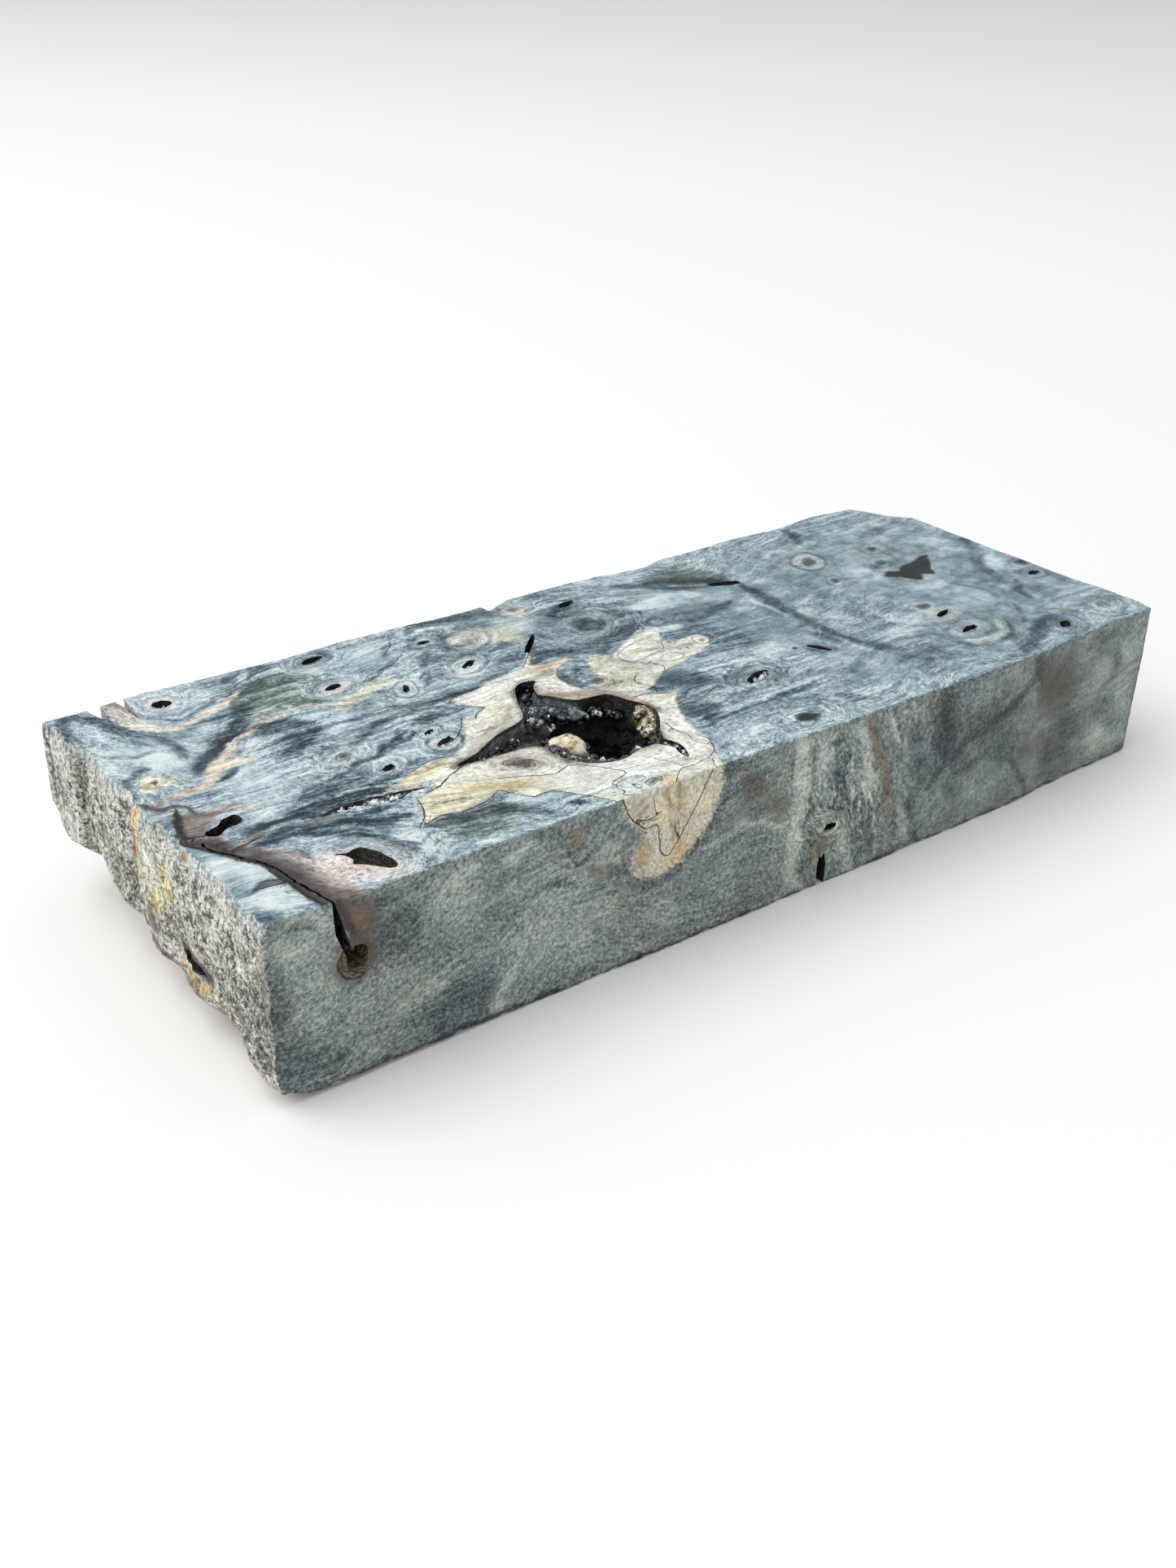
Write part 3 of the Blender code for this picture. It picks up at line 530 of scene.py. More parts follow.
# Paint rows are (value, width, path), laid in order; a path of one point is a dab. Tones run from 0, dark,
# to 1, light, a contrast of 1 is plain, and colours are written as on a paint chart, 0 to 255. A patch is
# (colour and strength, outline), and cream is a list of outlines.
topPaint = {
    "tone": 0.67,
    "tones": (
        (0.56, 66.0, ((26, 0), (72, 0))), (0.5, 22.0, ((-16, 17), (6, 16))),
        (0.46, 15.0, ((9, 6), (20, 3))),
        (0.34, 2.4, ((-69.3, 24.5), (-67.5, 26.2), (-65.7, 24), (-64.6, 21), (-63.4, 18.5), (-61.8, 16.5),
            (-60.6, 14))),
        (0.42, 1.8, ((-69.6, 17), (-69.8, 21), (-69.3, 25))),
        (0.36, 0.9, ((-60.6, 15), (-60.3, 12), (-60.5, 8.5))), (0.82, 5.0, ((-66.6, 16), (-67.6, 11.5))),
        (0.84, 4.6, ((-64, 13), (-63.5, 9.5))), (0.34, 1.1, ((-68.8, 7), (-67, 8.5), (-65.4, 8.8))),
        (0.36, 1.3, ((-69.4, 3), (-69.3, 5), (-68.7, 6.8))),
        (0.52, 0.8, ((-69, 15), (-66, 12.4), (-63, 12.6), (-61.4, 11))),
        (0.5, 0.7, ((-66, 19), (-63.6, 15.6), (-62.4, 12.8))), (0.72, 3.0, ((-68, 20), (-67.2, 22.6))),
        (0.8, 9.0, ((-57.2, 23),)), (0.8, 5.0, ((-52.5, 24.5), (-53.8, 21))),
        (0.5, 1.0, ((-60.2, 21.4), (-58.8, 18.9), (-56, 18.4), (-53, 19.9), (-51, 21.5))),
        (0.66, 1.0, ((-59.2, 21.2), (-57, 20), (-54.4, 20.8))),
        (0.52, 3.2, ((-59.5, 13.5), (-56, 15.2), (-52, 17))),
        (0.74, 2.0, ((-59, 10.4), (-57.2, 13), (-54.5, 15.4))),
        (0.2, 2.7, ((-61, 5), (-58.4, 7.6), (-55.5, 10), (-53, 12.2), (-51, 14.5), (-49.6, 17.5),
            (-49, 20.5))),
        (0.4, 6.0, ((-47.5, 18), (-46.5, 22), (-43.5, 25.5))), (0.26, 3.0, ((-42.8, 26.8),)),
        (0.7, 0.9, ((-47.5, 22.5), (-45.6, 24.6), (-43.8, 26.6))),
        (0.46, 4.0, ((-46, 15.8), (-41, 20.5), (-37, 20))),
        (0.74, 1.5, ((-46, 16.8), (-42, 17.3), (-39, 17.6))),
        (0.32, 1.6, ((-44.8, 15.4), (-42.5, 14.1), (-39.6, 12.6))),
        (0.76, 6.0, ((-39.5, 22.5), (-35, 22))), (0.4, 3.4, ((-38, 23.9), (-36, 24.3), (-33.8, 25))),
        (0.42, 8.5, ((-49.2, 8.6), (-46.6, 7.4))), (0.3, 3.0, ((-50.5, 9.4), (-48, 9.8), (-45.5, 8.2))),
        (0.3, 2.2, ((-49.8, 3.2), (-47.4, 5), (-45.2, 6.6))), (0.36, 2.6, ((-52, 0.4), (-50, 3.5))),
        (0.8, 3.6, ((-45.6, 11.6), (-43, 10), (-42, 7.5), (-43.5, 5))),
        (0.78, 2.2, ((-54.3, 3), (-53.2, 6), (-52.6, 8.4))),
        (0.24, 1.4, ((-61, 1.6), (-59, 2.3), (-57, 3.2))), (0.82, 8.0, ((-58, -1), (-55.5, 0.5))),
        (0.76, 6.0, ((-60.5, -4.5), (-56, -5))), (0.7, 4.0, ((-52.5, -2.5), (-51, 1.5))),
        (0.8, 2.6, ((-58.6, -7.2), (-61, -8.6))), (0.78, 4.4, ((-47.2, -1), (-44.6, -0.2))),
        (0.46, 1.0, ((-49, 0.6), (-47.6, 1.6), (-44.6, 1.7), (-43.6, 0.2))),
        (0.56, 3.0, ((-41.5, 4), (-38.5, 7.5), (-36, 10))),
        (0.42, 1.4, ((-42.5, 1), (-39.5, 3.6), (-36, 4.4))),
        (0.2, 0.9, ((-50, -5), (-47.5, -4.4), (-45.5, -3.6), (-43, -3.2), (-41, -1.9), (-38, -1.4),
            (-36, -0.6))),
        (0.28, 1.2, ((-40.5, -2.6), (-39, -1), (-37.6, 0.8))), (0.42, 3.4, ((-50, -7), (-46, -5.6))),
        (0.76, 2.6, ((-40.4, -5), (-38, -4.4))),
        (0.34, 1.2, ((-47, -8.6), (-44.8, -8.4), (-42.6, -8.2))),
        (0.2, 2.2, ((-63, -10.4), (-58, -9.5), (-54, -8.7), (-50, -8.9), (-47, -9.7), (-43.5, -10.9))),
        (0.7, 0.7, ((-62, -11.3), (-58, -10.8), (-53.5, -10.6))),
        (0.14, 1.6, ((-61.4, -10.2), (-59.5, -9.6), (-57, -9.9), (-54.8, -10), (-51, -9.7),
            (-46, -10.6))),
        (0.62, 0.7, ((-60, -9), (-57, -8.6), (-54, -8.2))),
        (0.6, 0.6, ((-52, -8.4), (-48.6, -8.8), (-45, -9.8))),
        (0.66, 0.7, ((-60.4, -11.8), (-58.2, -11.5), (-57, -11))),
        (0.1, 0.9, ((-56.8, -11), (-54.6, -11.5), (-52.4, -11.2))),
        (0.12, 2.4, ((-63, -13), (-61, -13), (-59.2, -12.8), (-56.5, -14.1), (-52.7, -14.7), (-50.4, -16),
            (-47.4, -16.8))),
        (0.6, 0.6, ((-57.6, -13.9), (-54.6, -14.6), (-52, -15.6))),
        (0.6, 0.5, ((-60.4, -12.6), (-58, -12.9))),
        (0.12, 0.9, ((-51.6, -13.3), (-49.6, -13.8), (-47.6, -14.2))),
        (0.6, 2.4, ((-61.5, -16), (-58, -16.4))), (0.46, 3.0, ((-53, -16.6), (-49.5, -18.4))),
        (0.34, 1.8, ((-56, -15.6), (-53, -17.8), (-51.4, -20.5), (-50.6, -23))),
        (0.86, 6.5, ((-67.5, -14.5), (-67, -17.5))), (0.9, 5.0, ((-68, -22), (-65.6, -24.5))),
        (0.44, 2.6, ((-69.2, -24.5), (-68.5, -27))), (0.5, 1.2, ((-69.8, -20.4), (-67.4, -20.8))),
        (0.14, 0.7, ((-67.6, -20.8), (-65.6, -20.2), (-64, -20.6))),
        (0.5, 2.6, ((-69.4, -5), (-68.8, -2.4))), (0.28, 1.0, ((-59.9, 1.5), (-58.6, 2.1), (-57, 3))),
        (0.3, 3.0, ((-46.8, -19.8), (-43.5, -21), (-40, -21), (-37, -22.5), (-34.2, -24.8))),
        (0.44, 3.4, ((-44, -23.6), (-40, -24))), (0.88, 1.0, ((-44.2, -25.6), (-41.4, -27))),
        (0.72, 1.0, ((-48.4, -21.8), (-45.8, -24.4))), (0.7, 4.0, ((-49.5, -25), (-47.5, -26.5))),
        (0.8, 2.6, ((-35, -20.2), (-32.6, -22))), (0.72, 2.6, ((-33.4, -24), (-30, -26.4))),
        (0.14, 1.1, ((-31, -24.7), (-29.8, -25.7))),
        (0.2, 1.3, ((-52.8, -9.4), (-51, -10.8), (-49, -10.2))), (0.72, 9.0, ((-31, 20), (-26, 24))),
        (0.74, 6.0, ((-31, 14), (-26, 17.5))),
        (0.44, 0.7, ((-35, 14), (-31, 16), (-28, 18.2), (-26, 19))),
        (0.46, 0.9, ((-28, 20), (-25, 23.4))), (0.34, 1.3, ((-19.8, 27), (-20.8, 24.5), (-22, 22.5))),
        (0.36, 3.6, ((-19, 26.4), (-15, 26), (-10, 25.4), (-8, 25.2))),
        (0.24, 1.4, ((-19.6, 27), (-16.5, 26.4))),
        (0.42, 1.6, ((-21.2, 19), (-23.3, 16.9), (-25.4, 14.6))),
        (0.5, 1.4, ((-26.6, 12.8), (-27.4, 10))), (0.68, 6.0, ((-23, 9), (-19, 9.4))),
        (0.42, 1.5, ((-34.6, 7.2), (-32.5, 6.1), (-30, 5.5))),
        (0.32, 0.9, ((-36, 5), (-31, 4.9), (-27.5, 5.5), (-22.5, 5.6))),
        (0.46, 1.0, ((-22.5, 6), (-18.6, 7.4), (-15.4, 8))),
        (0.4, 1.0, ((-35, 3.8), (-32, 4.2), (-29.5, 3.2), (-28, 1.6))),
        (0.32, 1.5, ((-35, 1.2), (-33, 2), (-30.5, 1.6))), (0.76, 2.0, ((-33.6, -2.7), (-31.4, -1.6))),
        (0.34, 0.6, ((-36.5, -7), (-34.5, -7.3), (-33, -6.3), (-32.4, -5), (-33, -3.8))),
        (0.78, 6.0, ((-10, 18), (-6, 20.5))), (0.72, 4.0, ((-3.4, 21), (-1.4, 24))),
        (0.28, 2.6, ((-13.6, 7.6), (-11.5, 8.7), (-9.4, 9))),
        (0.25, 3.0, ((-9.6, 8.6), (-6, 7.5), (-3, 7), (1.5, 8), (4.5, 9))),
        (0.36, 2.4, ((-4.4, 5.2), (-2, 7.4), (3, 9.2), (9.5, 10))),
        (0.56, 3.4, ((-5, 13.4), (-4, 15.6))), (0.36, 1.8, ((-11.6, 3.8), (-12.5, 1.2), (-11.6, -1.4))),
        (0.48, 4.0, ((-9.6, 3.2), (-8.4, 1))), (0.8, 3.6, ((-6, -1), (-7, -4))),
        (0.26, 5.4, ((-3, -5.6), (0, -7.4), (2.4, -9))),
        (0.3, 1.2, ((-4.4, -5.4), (-5, -7), (-3.6, -8.4))),
        (0.32, 5.6, ((-2.6, -10.8), (-4, -13.5), (-4.4, -17.5))),
        (0.3, 0.9, ((-6.4, -17.4), (-2, -18.3), (3, -18.2), (8, -18), (13, -17.6))),
        (0.38, 0.8, ((-6.6, -19.2), (0, -19.4), (6, -18.9))),
        (0.78, 0.7, ((-2, -17), (4, -17.2), (10, -16.6))), (0.68, 7.0, ((-6, -22.6), (6, -21.5))),
        (0.32, 1.8, ((3, 21.4), (0.8, 20.2), (-1.8, 18.6))),
        (0.3, 4.2, ((-0.8, 12.8), (1, 13.1), (2.6, 13.4))),
        (0.52, 1.1, ((-2.4, 13), (-1.6, 10.8), (0.8, 9.9))),
        (0.55, 1.2, ((-1.4, 16.6), (1.4, 17.2), (3.4, 16))), (0.36, 0.9, ((6, 13.1),)),
        (0.36, 0.8, ((7.4, 13.4),)), (0.34, 1.1, ((8.8, 13),)), (0.78, 3.6, ((9.5, 14.8), (16, 13))),
        (0.76, 2.6, ((15.6, 15.6), (20, 13.4))), (0.74, 2.0, ((5, 20), (9.6, 18.4))),
        (0.3, 1.7, ((11.6, 22.3), (15, 20.2), (18, 17.6), (20.5, 16), (23.6, 14.9))),
        (0.36, 5.4, ((18, 22), (21.5, 20.4), (24.6, 18.4), (26.6, 16.6))),
        (0.1, 2.2, ((16.2, 20.8), (20, 18.8), (23.5, 16.9), (26.4, 15))),
        (0.7, 1.0, ((18.6, 17.9), (21.4, 16.5), (23.4, 15.6))),
        (0.26, 2.2, ((27.4, 12.4), (27.3, 9), (27, 5), (26.5, 1), (26.2, -4), (26.6, -9))),
        (0.3, 2.4, ((26.8, -10), (28, -14), (29.6, -17.6), (30.8, -21))),
        (0.42, 3.0, ((-15, 10), (-12, 9.8))), (0.78, 3.0, ((-22.8, 10.3), (-20, 9.8))),
        (0.34, 3.4, ((-54.4, -6.9), (-51, -6.8))), (0.8, 6.0, ((-6.7, -21.7), (-2, -23))),
        (0.88, 3.2, ((-64.5, 9.4), (-62.6, 7.6))), (0.74, 0.9, ((25.2, 7.4), (25.1, 4), (24.8, 0.6))),
        (0.72, 0.7, ((25.2, -8.6), (25.8, -13), (27, -15.6))),
        (0.3, 2.2, ((15, 6.4), (18.5, 7.6), (21.4, 8.8))), (0.42, 1.3, ((18.4, 2.6), (21, 5))),
        (0.38, 2.2, ((9.4, 3.8), (11.4, 5), (13, 5.4))), (0.42, 5.0, ((13, 0.6), (14.6, -0.6))),
        (0.48, 4.0, ((18, -1.4), (23, 1.6))), (0.74, 1.0, ((4.6, 7.8), (7, 7.5), (10.5, 6.5))),
        (0.74, 5.0, ((13.6, -8.6), (16, -6.4))), (0.4, 1.0, ((18.4, -8.2),)),
        (0.33, 2.0, ((23.5, -5.6), (24.3, -8), (24.6, -9.8))),
        (0.4, 1.6, ((-1.6, -11), (1, -11.8), (4, -10.6), (6.4, -9))), (0.4, 1.2, ((2, -14), (5, -14.6))),
        (0.16, 2.2, ((5.4, -24),)), (0.42, 1.6, ((12.6, -22), (14.6, -23.6))),
        (0.4, 1.0, ((9.4, -21.8),)), (0.44, 4.0, ((28.6, -17), (31, -18.5), (34.4, -18))),
        (0.56, 4.0, ((19, -19), (22, -17))), (0.52, 4.6, ((28, -24), (33, -22.5))),
        (0.42, 0.9, ((33, -9.8), (34.3, -8))), (0.42, 0.9, ((33.6, -6), (34.8, -4.6))),
        (0.46, 1.7, ((27.6, -10.5), (31, -10.7), (35, -9.4))), (0.74, 5.0, ((31, -6.4), (30, -3.6))),
        (0.7, 3.4, ((32.4, -12.6), (36, -12))), (0.76, 4.0, ((36.6, -7), (39, -11))),
        (0.62, 14.0, ((36, 21), (42, 24))), (0.28, 2.4, ((46.4, 20.8), (48.2, 23), (48.4, 25.4))),
        (0.54, 3.4, ((54, 24), (60, 23))), (0.5, 1.8, ((38.6, 10.6), (39.6, 8), (40.2, 5.6))),
        (0.5, 2.2, ((37.8, -0.6), (39.2, -4))), (0.74, 5.0, ((44, 7), (46, 4.6))),
        (0.5, 3.0, ((49.6, 17), (52.6, 15.4))), (0.42, 2.2, ((56, 16.2), (59, 17.2), (63, 18.4))),
        (0.42, 1.4, ((54, 12.2),)), (0.46, 1.6, ((51, 7.4),)), (0.44, 1.4, ((56.6, 10.2),)),
        (0.52, 3.0, ((59, 10.4), (62, 11.6))), (0.36, 2.4, ((60, -8), (63, -2), (66, 1.6), (69.4, 7))),
        (0.34, 2.8, ((65.6, -6.8), (68.6, -9.6))), (0.34, 2.2, ((68, -3.4), (69.8, -6))),
        (0.76, 3.4, ((61.4, 11), (66.4, 8.4))), (0.74, 2.8, ((63.4, -4), (67, -0.6))),
        (0.6, 6.0, ((54.6, -5.4), (58, -2.4))), (0.7, 6.0, ((49, -7.4), (53, -10))),
        (0.3, 1.8, ((59, -14), (60.4, -11), (62, -9.4))), (0.5, 1.1, ((60, -15.4), (64, -15))),
        (0.48, 3.4, ((50, -16.4), (52.4, -19))), (0.42, 0.7, ((51.4, -19.6), (54, -16), (55, -14.8))),
        (0.3, 2.4, ((43.4, -26), (49, -24), (53, -21.4), (56.4, -20.8))), (0.34, 3.8, ((55.4, -23),)),
        (0.76, 0.8, ((38.6, -18.4), (40.4, -20.2), (43.6, -20.8), (46.8, -19.6), (48.4, -17.2))),
        (0.32, 0.8, ((37.6, -19), (39.8, -21.4), (43.6, -22.2), (47.6, -20.8), (49.8, -17.6))),
        (0.36, 4.6, ((5.4, -10.4), (8.2, -12), (11.4, -12.8))), (0.32, 2.6, ((20, -9), (22.4, -11.2))),
        (0.42, 1.2, ((45, -22.8), (48.4, -22))), (0.5, 2.4, ((36, -17), (39, -18.6))),
        (0.7, 3.6, ((61, -23.4), (58.6, -25.4))),
        (0.44, 1.5, ((64.8, -20.2), (66.6, -19.8), (67.9, -21.4))),
        (0.46, 1.2, ((67.4, -23.4), (65.8, -25.2), (63.4, -25.5))),
    ),
    "patches": (
        ((206, 206, 190, 0.85), ((-7.8, 3.2), (-6, 5.2), (-3.4, 4.5), (-3.2, 2), (-1.6, -0.2), (-0.6, -3),
            (-2.6, -5.2), (-6, -7.1), (-8, -7.3), (-9.4, -5.6), (-11, -3.7), (-10.4, -1.5), (-8, 0.6))),
        ((24, 30, 34, 1.0), ((47, 3.2), (49.5, 4.8), (51, 3.6), (53, 4.8), (56, 5.4), (59.3, 6),
            (58.4, 4.4), (57, 3), (55.4, 1.4), (54.5, -0.5), (53, 0.5), (51.5, -0.8), (50.3, -1),
            (49, 1.5))),
    ),
    "green": 0.3,
    "greens": (
        (0.9, 9.0, ((-47, 15), (-44, 20))), (0.6, 6.0, ((-40, 21),)),
        (0.8, 7.0, ((-45, -22), (-38, -22.5))), (0.0, 8.0, ((-56, -14), (-50, -13))),
        (0.0, 9.0, ((-60, -2), (-54, 2))), (0.0, 6.0, ((-66, 19), (-63, 21))),
        (0.55, 10.0, ((-14, 22), (-5, 21))), (0.9, 9.0, ((20, 20), (25, 18))),
        (0.3, 5.0, ((27.4, 10), (27, -8), (27, -18))), (0.5, 6.0, ((19, 8),)),
        (0.4, 9.0, ((32, -17), (38, -19))), (0.5, 8.0, ((2, 13),)), (0.8, 6.0, ((-6, -3), (-8, 0))),
        (0.5, 6.0, ((-33, 6),)), (0.0, 8.0, ((-2, -7), (4, -9))), (0.0, 9.0, ((14, 0), (22, 4))),
        (0.0, 12.0, ((50, 24), (60, 20))), (0.0, 8.0, ((62, -4), (68, 4))),
        (0.0, 9.0, ((28, -24), (34, -23))), (0.5, 8.0, ((52, 8), (54, 14))),
        (0.6, 6.0, ((44, -20), (50, -18))),
    ),
    "contrast": 1.1,
    "contrasts": (
        (1.4, 12.0, ((-52, -8), (-42, -9))), (1.3, 12.0, ((-49, 8),)),
        (1.25, 10.0, ((4, -12), (6, -22))), (0.2, 40.0, ((38, 12), (60, 0), (46, -16))),
        (0.36, 18.0, ((14, 18), (22, 4), (20, -4))), (0.45, 14.0, ((24, -10), (24, -22))),
        (0.55, 10.0, ((-4, 0), (0, -8))), (0.5, 9.0, ((-68, -14), (-67.4, -24))),
        (0.6, 9.0, ((-57, 4), (-63, 11), (-58, 15))), (0.6, 10.0, ((-14, 22), (-4, 16))),
        (2.3, 2.6, ((-53, -11.8), (-47, -12), (-41, -12.9))), (2.0, 2.0, ((-53, -9.6), (-49.6, -10.4))),
        (0.55, 7.0, ((-64, 14), (-66, 10))), (0.7, 8.0, ((-31, 20), (-27, 23))),
        (0.7, 6.0, ((-57, -1),)),
    ),
    # (colour, strength), width, path
    "stains": (
        ((196, 190, 182, 0.9), 3.0, ((-62.4, 27), (-62.3, 24.4), (-61.8, 21.6), (-61.6, 19.4))),
        ((140, 125, 116, 0.9), 1.4, ((-62.4, 27.6), (-61.6, 26), (-61.4, 24))),
        ((198, 190, 180, 0.8), 1.8, ((-64, -3.6), (-61.4, -4.4), (-60, -5.6))),
        ((146, 132, 122, 0.85), 2.6, ((-66.4, -4), (-65.4, -5.2), (-64.4, -4.9))),
        ((132, 120, 112, 0.85), 3.0, ((-67.4, -3), (-67, -5), (-67.2, -7.4), (-66.6, -9.6))),
        ((72, 63, 62, 0.9), 1.5, ((-70, 1.6), (-69, 0.4), (-68, -0.8))),
        ((76, 66, 62, 0.9), 0.8, ((-68, -0.8), (-66.8, -0.8), (-65.6, -1.9), (-65.5, -3.5))),
        ((110, 98, 92, 0.8), 0.9, ((-65.4, -3.4), (-64.4, -4.4), (-62.6, -4.6))),
        ((48, 42, 40, 0.9), 1.0, ((-67.1, -2), (-67.7, -3.6), (-68.4, -5.2), (-68.8, -6.6), (-69, -8))),
        ((78, 72, 72, 0.95), 2.2, ((-69, -8.6), (-67.2, -9.9), (-66.2, -11.8), (-65.2, -13.8),
            (-64, -16.4), (-63.2, -19))),
        ((104, 96, 96, 0.95), 2.6, ((-65.4, -12.6), (-63.4, -16), (-62.4, -19.6), (-61.8, -23),
            (-61.2, -28.4))),
        ((70, 64, 62, 0.95), 1.7, ((-64.4, -15.4), (-63.6, -18.6), (-63, -22), (-62.4, -25.4),
            (-61.8, -28.4))),
        ((170, 161, 156, 0.75), 2.4, ((-62, -15.4), (-60.4, -18.6), (-59.8, -22.4), (-59.2, -28.4))),
        ((50, 44, 42, 0.9), 0.9, ((-69.9, -7.9), (-68.4, -10.3), (-66.9, -12.3), (-65.6, -14.6),
            (-64.3, -17), (-64, -20.2), (-63.6, -23.6), (-63.1, -26.7), (-62.8, -28.4))),
        ((88, 86, 88, 0.85), 0.9, ((-64, -21), (-65.8, -20.8), (-67.4, -20.9))),
        ((74, 66, 62, 0.8), 0.6, ((-66.2, -12.8), (-64.8, -12.4), (-63.5, -12.1), (-61.9, -11.6))),
        ((168, 146, 120, 0.8), 0.6, ((-65, -11.8), (-63, -11.4), (-61, -10.8))),
        ((128, 124, 116, 0.85), 1.0, ((-57, -12), (-54.7, -12.4), (-52.6, -12.9))),
        ((112, 97, 92, 0.9), 2.0, ((-60.8, -25), (-60, -28))),
        ((218, 210, 200, 0.85), 6.6, ((-58.6, -20.2), (-57, -22.6), (-54.4, -25))),
        ((196, 208, 216, 0.9), 1.6, ((-57.6, -25.4),)),
        ((222, 214, 196, 0.8), 1.5, ((-63.6, 22.4), (-61.7, 19.4), (-60.5, 17.2), (-58.5, 16.4),
            (-55, 17.2), (-52.5, 18.7), (-49.8, 19.8), (-47.8, 21.2))),
        ((190, 183, 168, 0.85), 1.5, ((-68, 0.6), (-64.9, 1.2), (-62.1, 1.7))),
        ((200, 193, 176, 0.9), 2.2, ((-62.6, 1.6), (-60.4, 2.9), (-58.7, 4.6), (-56.6, 6.8))),
        ((222, 215, 196, 0.95), 1.5, ((-60.4, 2.8), (-58.7, 4.8), (-56.4, 7.2), (-54.8, 9.1))),
        ((228, 221, 202, 0.95), 2.0, ((-57.8, 4.4), (-56.4, 4.7), (-55.1, 4.3))),
        ((214, 206, 188, 0.9), 1.2, ((-55.6, 8.2), (-52.7, 10.2), (-49.6, 11.9), (-46, 13))),
        ((196, 190, 174, 0.8), 0.9, ((-46.4, 13.1), (-43.5, 13.1), (-41, 12), (-38, 11.6), (-35, 12.8))),
        ((130, 132, 122, 0.8), 0.8, ((-56.8, 6.4), (-56.2, 6))),
        ((230, 222, 196, 0.95), 3.2, ((-67.2, 4.7), (-66.3, 5.5), (-65.4, 6.2))),
        ((204, 204, 190, 0.85), 2.2, ((-64.4, 5.6), (-63.8, 4.4))),
        ((214, 206, 190, 0.7), 0.9, ((-39.6, 14.9), (-38, 14.6), (-36.2, 15.2), (-35.8, 16.2))),
        ((196, 202, 186, 0.9), 4.6, ((-13, 20), (-10, 15))), ((203, 201, 186, 0.9), 4.4, ((-16, 18.6),)),
        ((200, 196, 178, 0.9), 3.0, ((-6.4, 23.2), (-3.4, 22))),
        ((196, 200, 188, 0.4), 2.0, ((40, -21), (42.6, -22.4))),
        ((190, 190, 178, 0.4), 1.6, ((58, -19.4), (61.4, -20.6))),
        ((201, 205, 190, 0.9), 3.0, ((-40.4, 9.6), (-38, 11), (-34.4, 12.6), (-31, 14))),
        ((176, 168, 154, 0.9), 2.0, ((-41, -10.2), (-43, -11.2), (-46, -10.8))),
    ),
    "cream": (
        ((-47.5, -19.7), (-45.6, -18), (-45.2, -16), (-44.6, -14.4), (-42.6, -13.7), (-41, -12.8),
            (-40.8, -11.5), (-43, -11.3), (-45.2, -10.6), (-43, -9.4), (-41, -8.2), (-38.5, -7.6),
            (-35.6, -7.9), (-33.4, -6.8), (-31.8, -4.8), (-30.6, -2.8), (-29.6, -0.6), (-28.4, -1.6),
            (-27, -0.6), (-25.6, 0.4), (-26.6, 1.6), (-27.8, 3.6), (-27.2, 4.6), (-24, 4.9), (-21, 6.2),
            (-17, 6.9), (-15, 7.2), (-13.4, 9), (-11.8, 10.8), (-10.8, 11.6), (-12, 9.6), (-13.8, 7.2),
            (-11.5, 6.3), (-8.6, 6.7), (-8, 5.9), (-11.5, 4.4), (-13, 2.3), (-13.1, 0), (-12.3, -2.5),
            (-10.6, -4), (-9.2, -5.2), (-8.6, -7.2), (-6.6, -8), (-5.2, -8.8), (-2.6, -9.3), (-4.6, -11),
            (-6, -13.5), (-7.5, -16.5), (-8, -19), (-8.6, -22), (-10.2, -25), (-11.6, -28.6),
            (-27, -28.6), (-28, -25.2), (-29.5, -23.5), (-31, -21.2), (-33.5, -21.4), (-35.6, -18),
            (-37.5, -18.6), (-39.5, -19.3), (-42, -19.4), (-44, -18.7), (-45.6, -19.3)),
        ((-3.1, 3.7), (-0.6, 5.3), (3.2, 7.3), (5.4, 7.4), (7.1, 6.5), (5.6, 4.2), (5.9, 2.6), (8.8, 2.6),
            (10.8, 2.7), (11.3, 0.9), (9.6, -1.1), (6, -2.2), (2.6, -3.3), (-0.4, -3.9), (-2.6, -4.1),
            (-1.6, -2.4), (-0.5, -0.9), (-2, 0.2), (-2.7, 1.7), (-3.6, 2.6)),
    ),
    "creamTint": (207, 211, 201),
    "creamTints": (
        ((208, 204, 174, 0.9), 6.0, ((-45, -17.4), (-41, -16.4), (-37, -16.6), (-34, -18.6))),
        ((189, 182, 150, 0.9), 2.2, ((-44, -10.4), (-40, -9.4), (-37, -8.6))),
        ((181, 167, 124, 0.9), 2.2, ((-38, -15.6), (-35, -17.4), (-31, -18.8))),
        ((176, 165, 126, 0.9), 1.4, ((-32, -20.2), (-29.6, -22.6))),
        ((124, 116, 104, 0.85), 1.4, hollow["rim"]), ((78, 72, 67, 0.8), 0.7, hollow["rim"]),
        ((220, 226, 220, 1.0), 7.0, ((-29, -21), (-22, -22), (-16, -22))),
        ((191, 184, 175, 0.9), 3.6, ((-33, -12.6), (-29, -12.8), (-27, -15))),
        ((226, 231, 225, 1.0), 5.0, ((-10, -14), (-8.6, -18), (-10.6, -23))),
        ((205, 202, 187, 0.9), 2.4, ((-9.4, -8), (-6, -9), (-3, -9.4))),
        ((148, 128, 114, 0.9), 2.0, ((-17.4, 0.6), (-15.5, -2), (-12.5, -3.6), (-10.4, -4.6), (-9.2, -7),
            (-8.6, -10))),
        ((141, 124, 106, 0.9), 1.6, ((-15.2, 3.2), (-13.4, 4.2), (-12.4, 5))),
        ((191, 163, 116, 0.9), 1.4, ((-15.8, 5.8), (-12.5, 5.8), (-8.6, 6.4))),
        ((222, 227, 217, 0.95), 3.0, ((-27, 3.2), (-22, 4.4), (-18, 5.6))),
        ((207, 206, 191, 0.9), 3.2, ((-29, -2.6), (-25, -1), (-22.4, 1.4))),
        ((163, 155, 144, 0.9), 1.4, ((-34.4, -8.8), (-29.5, -5.8), (-25.5, -4.2), (-23, -1.4))),
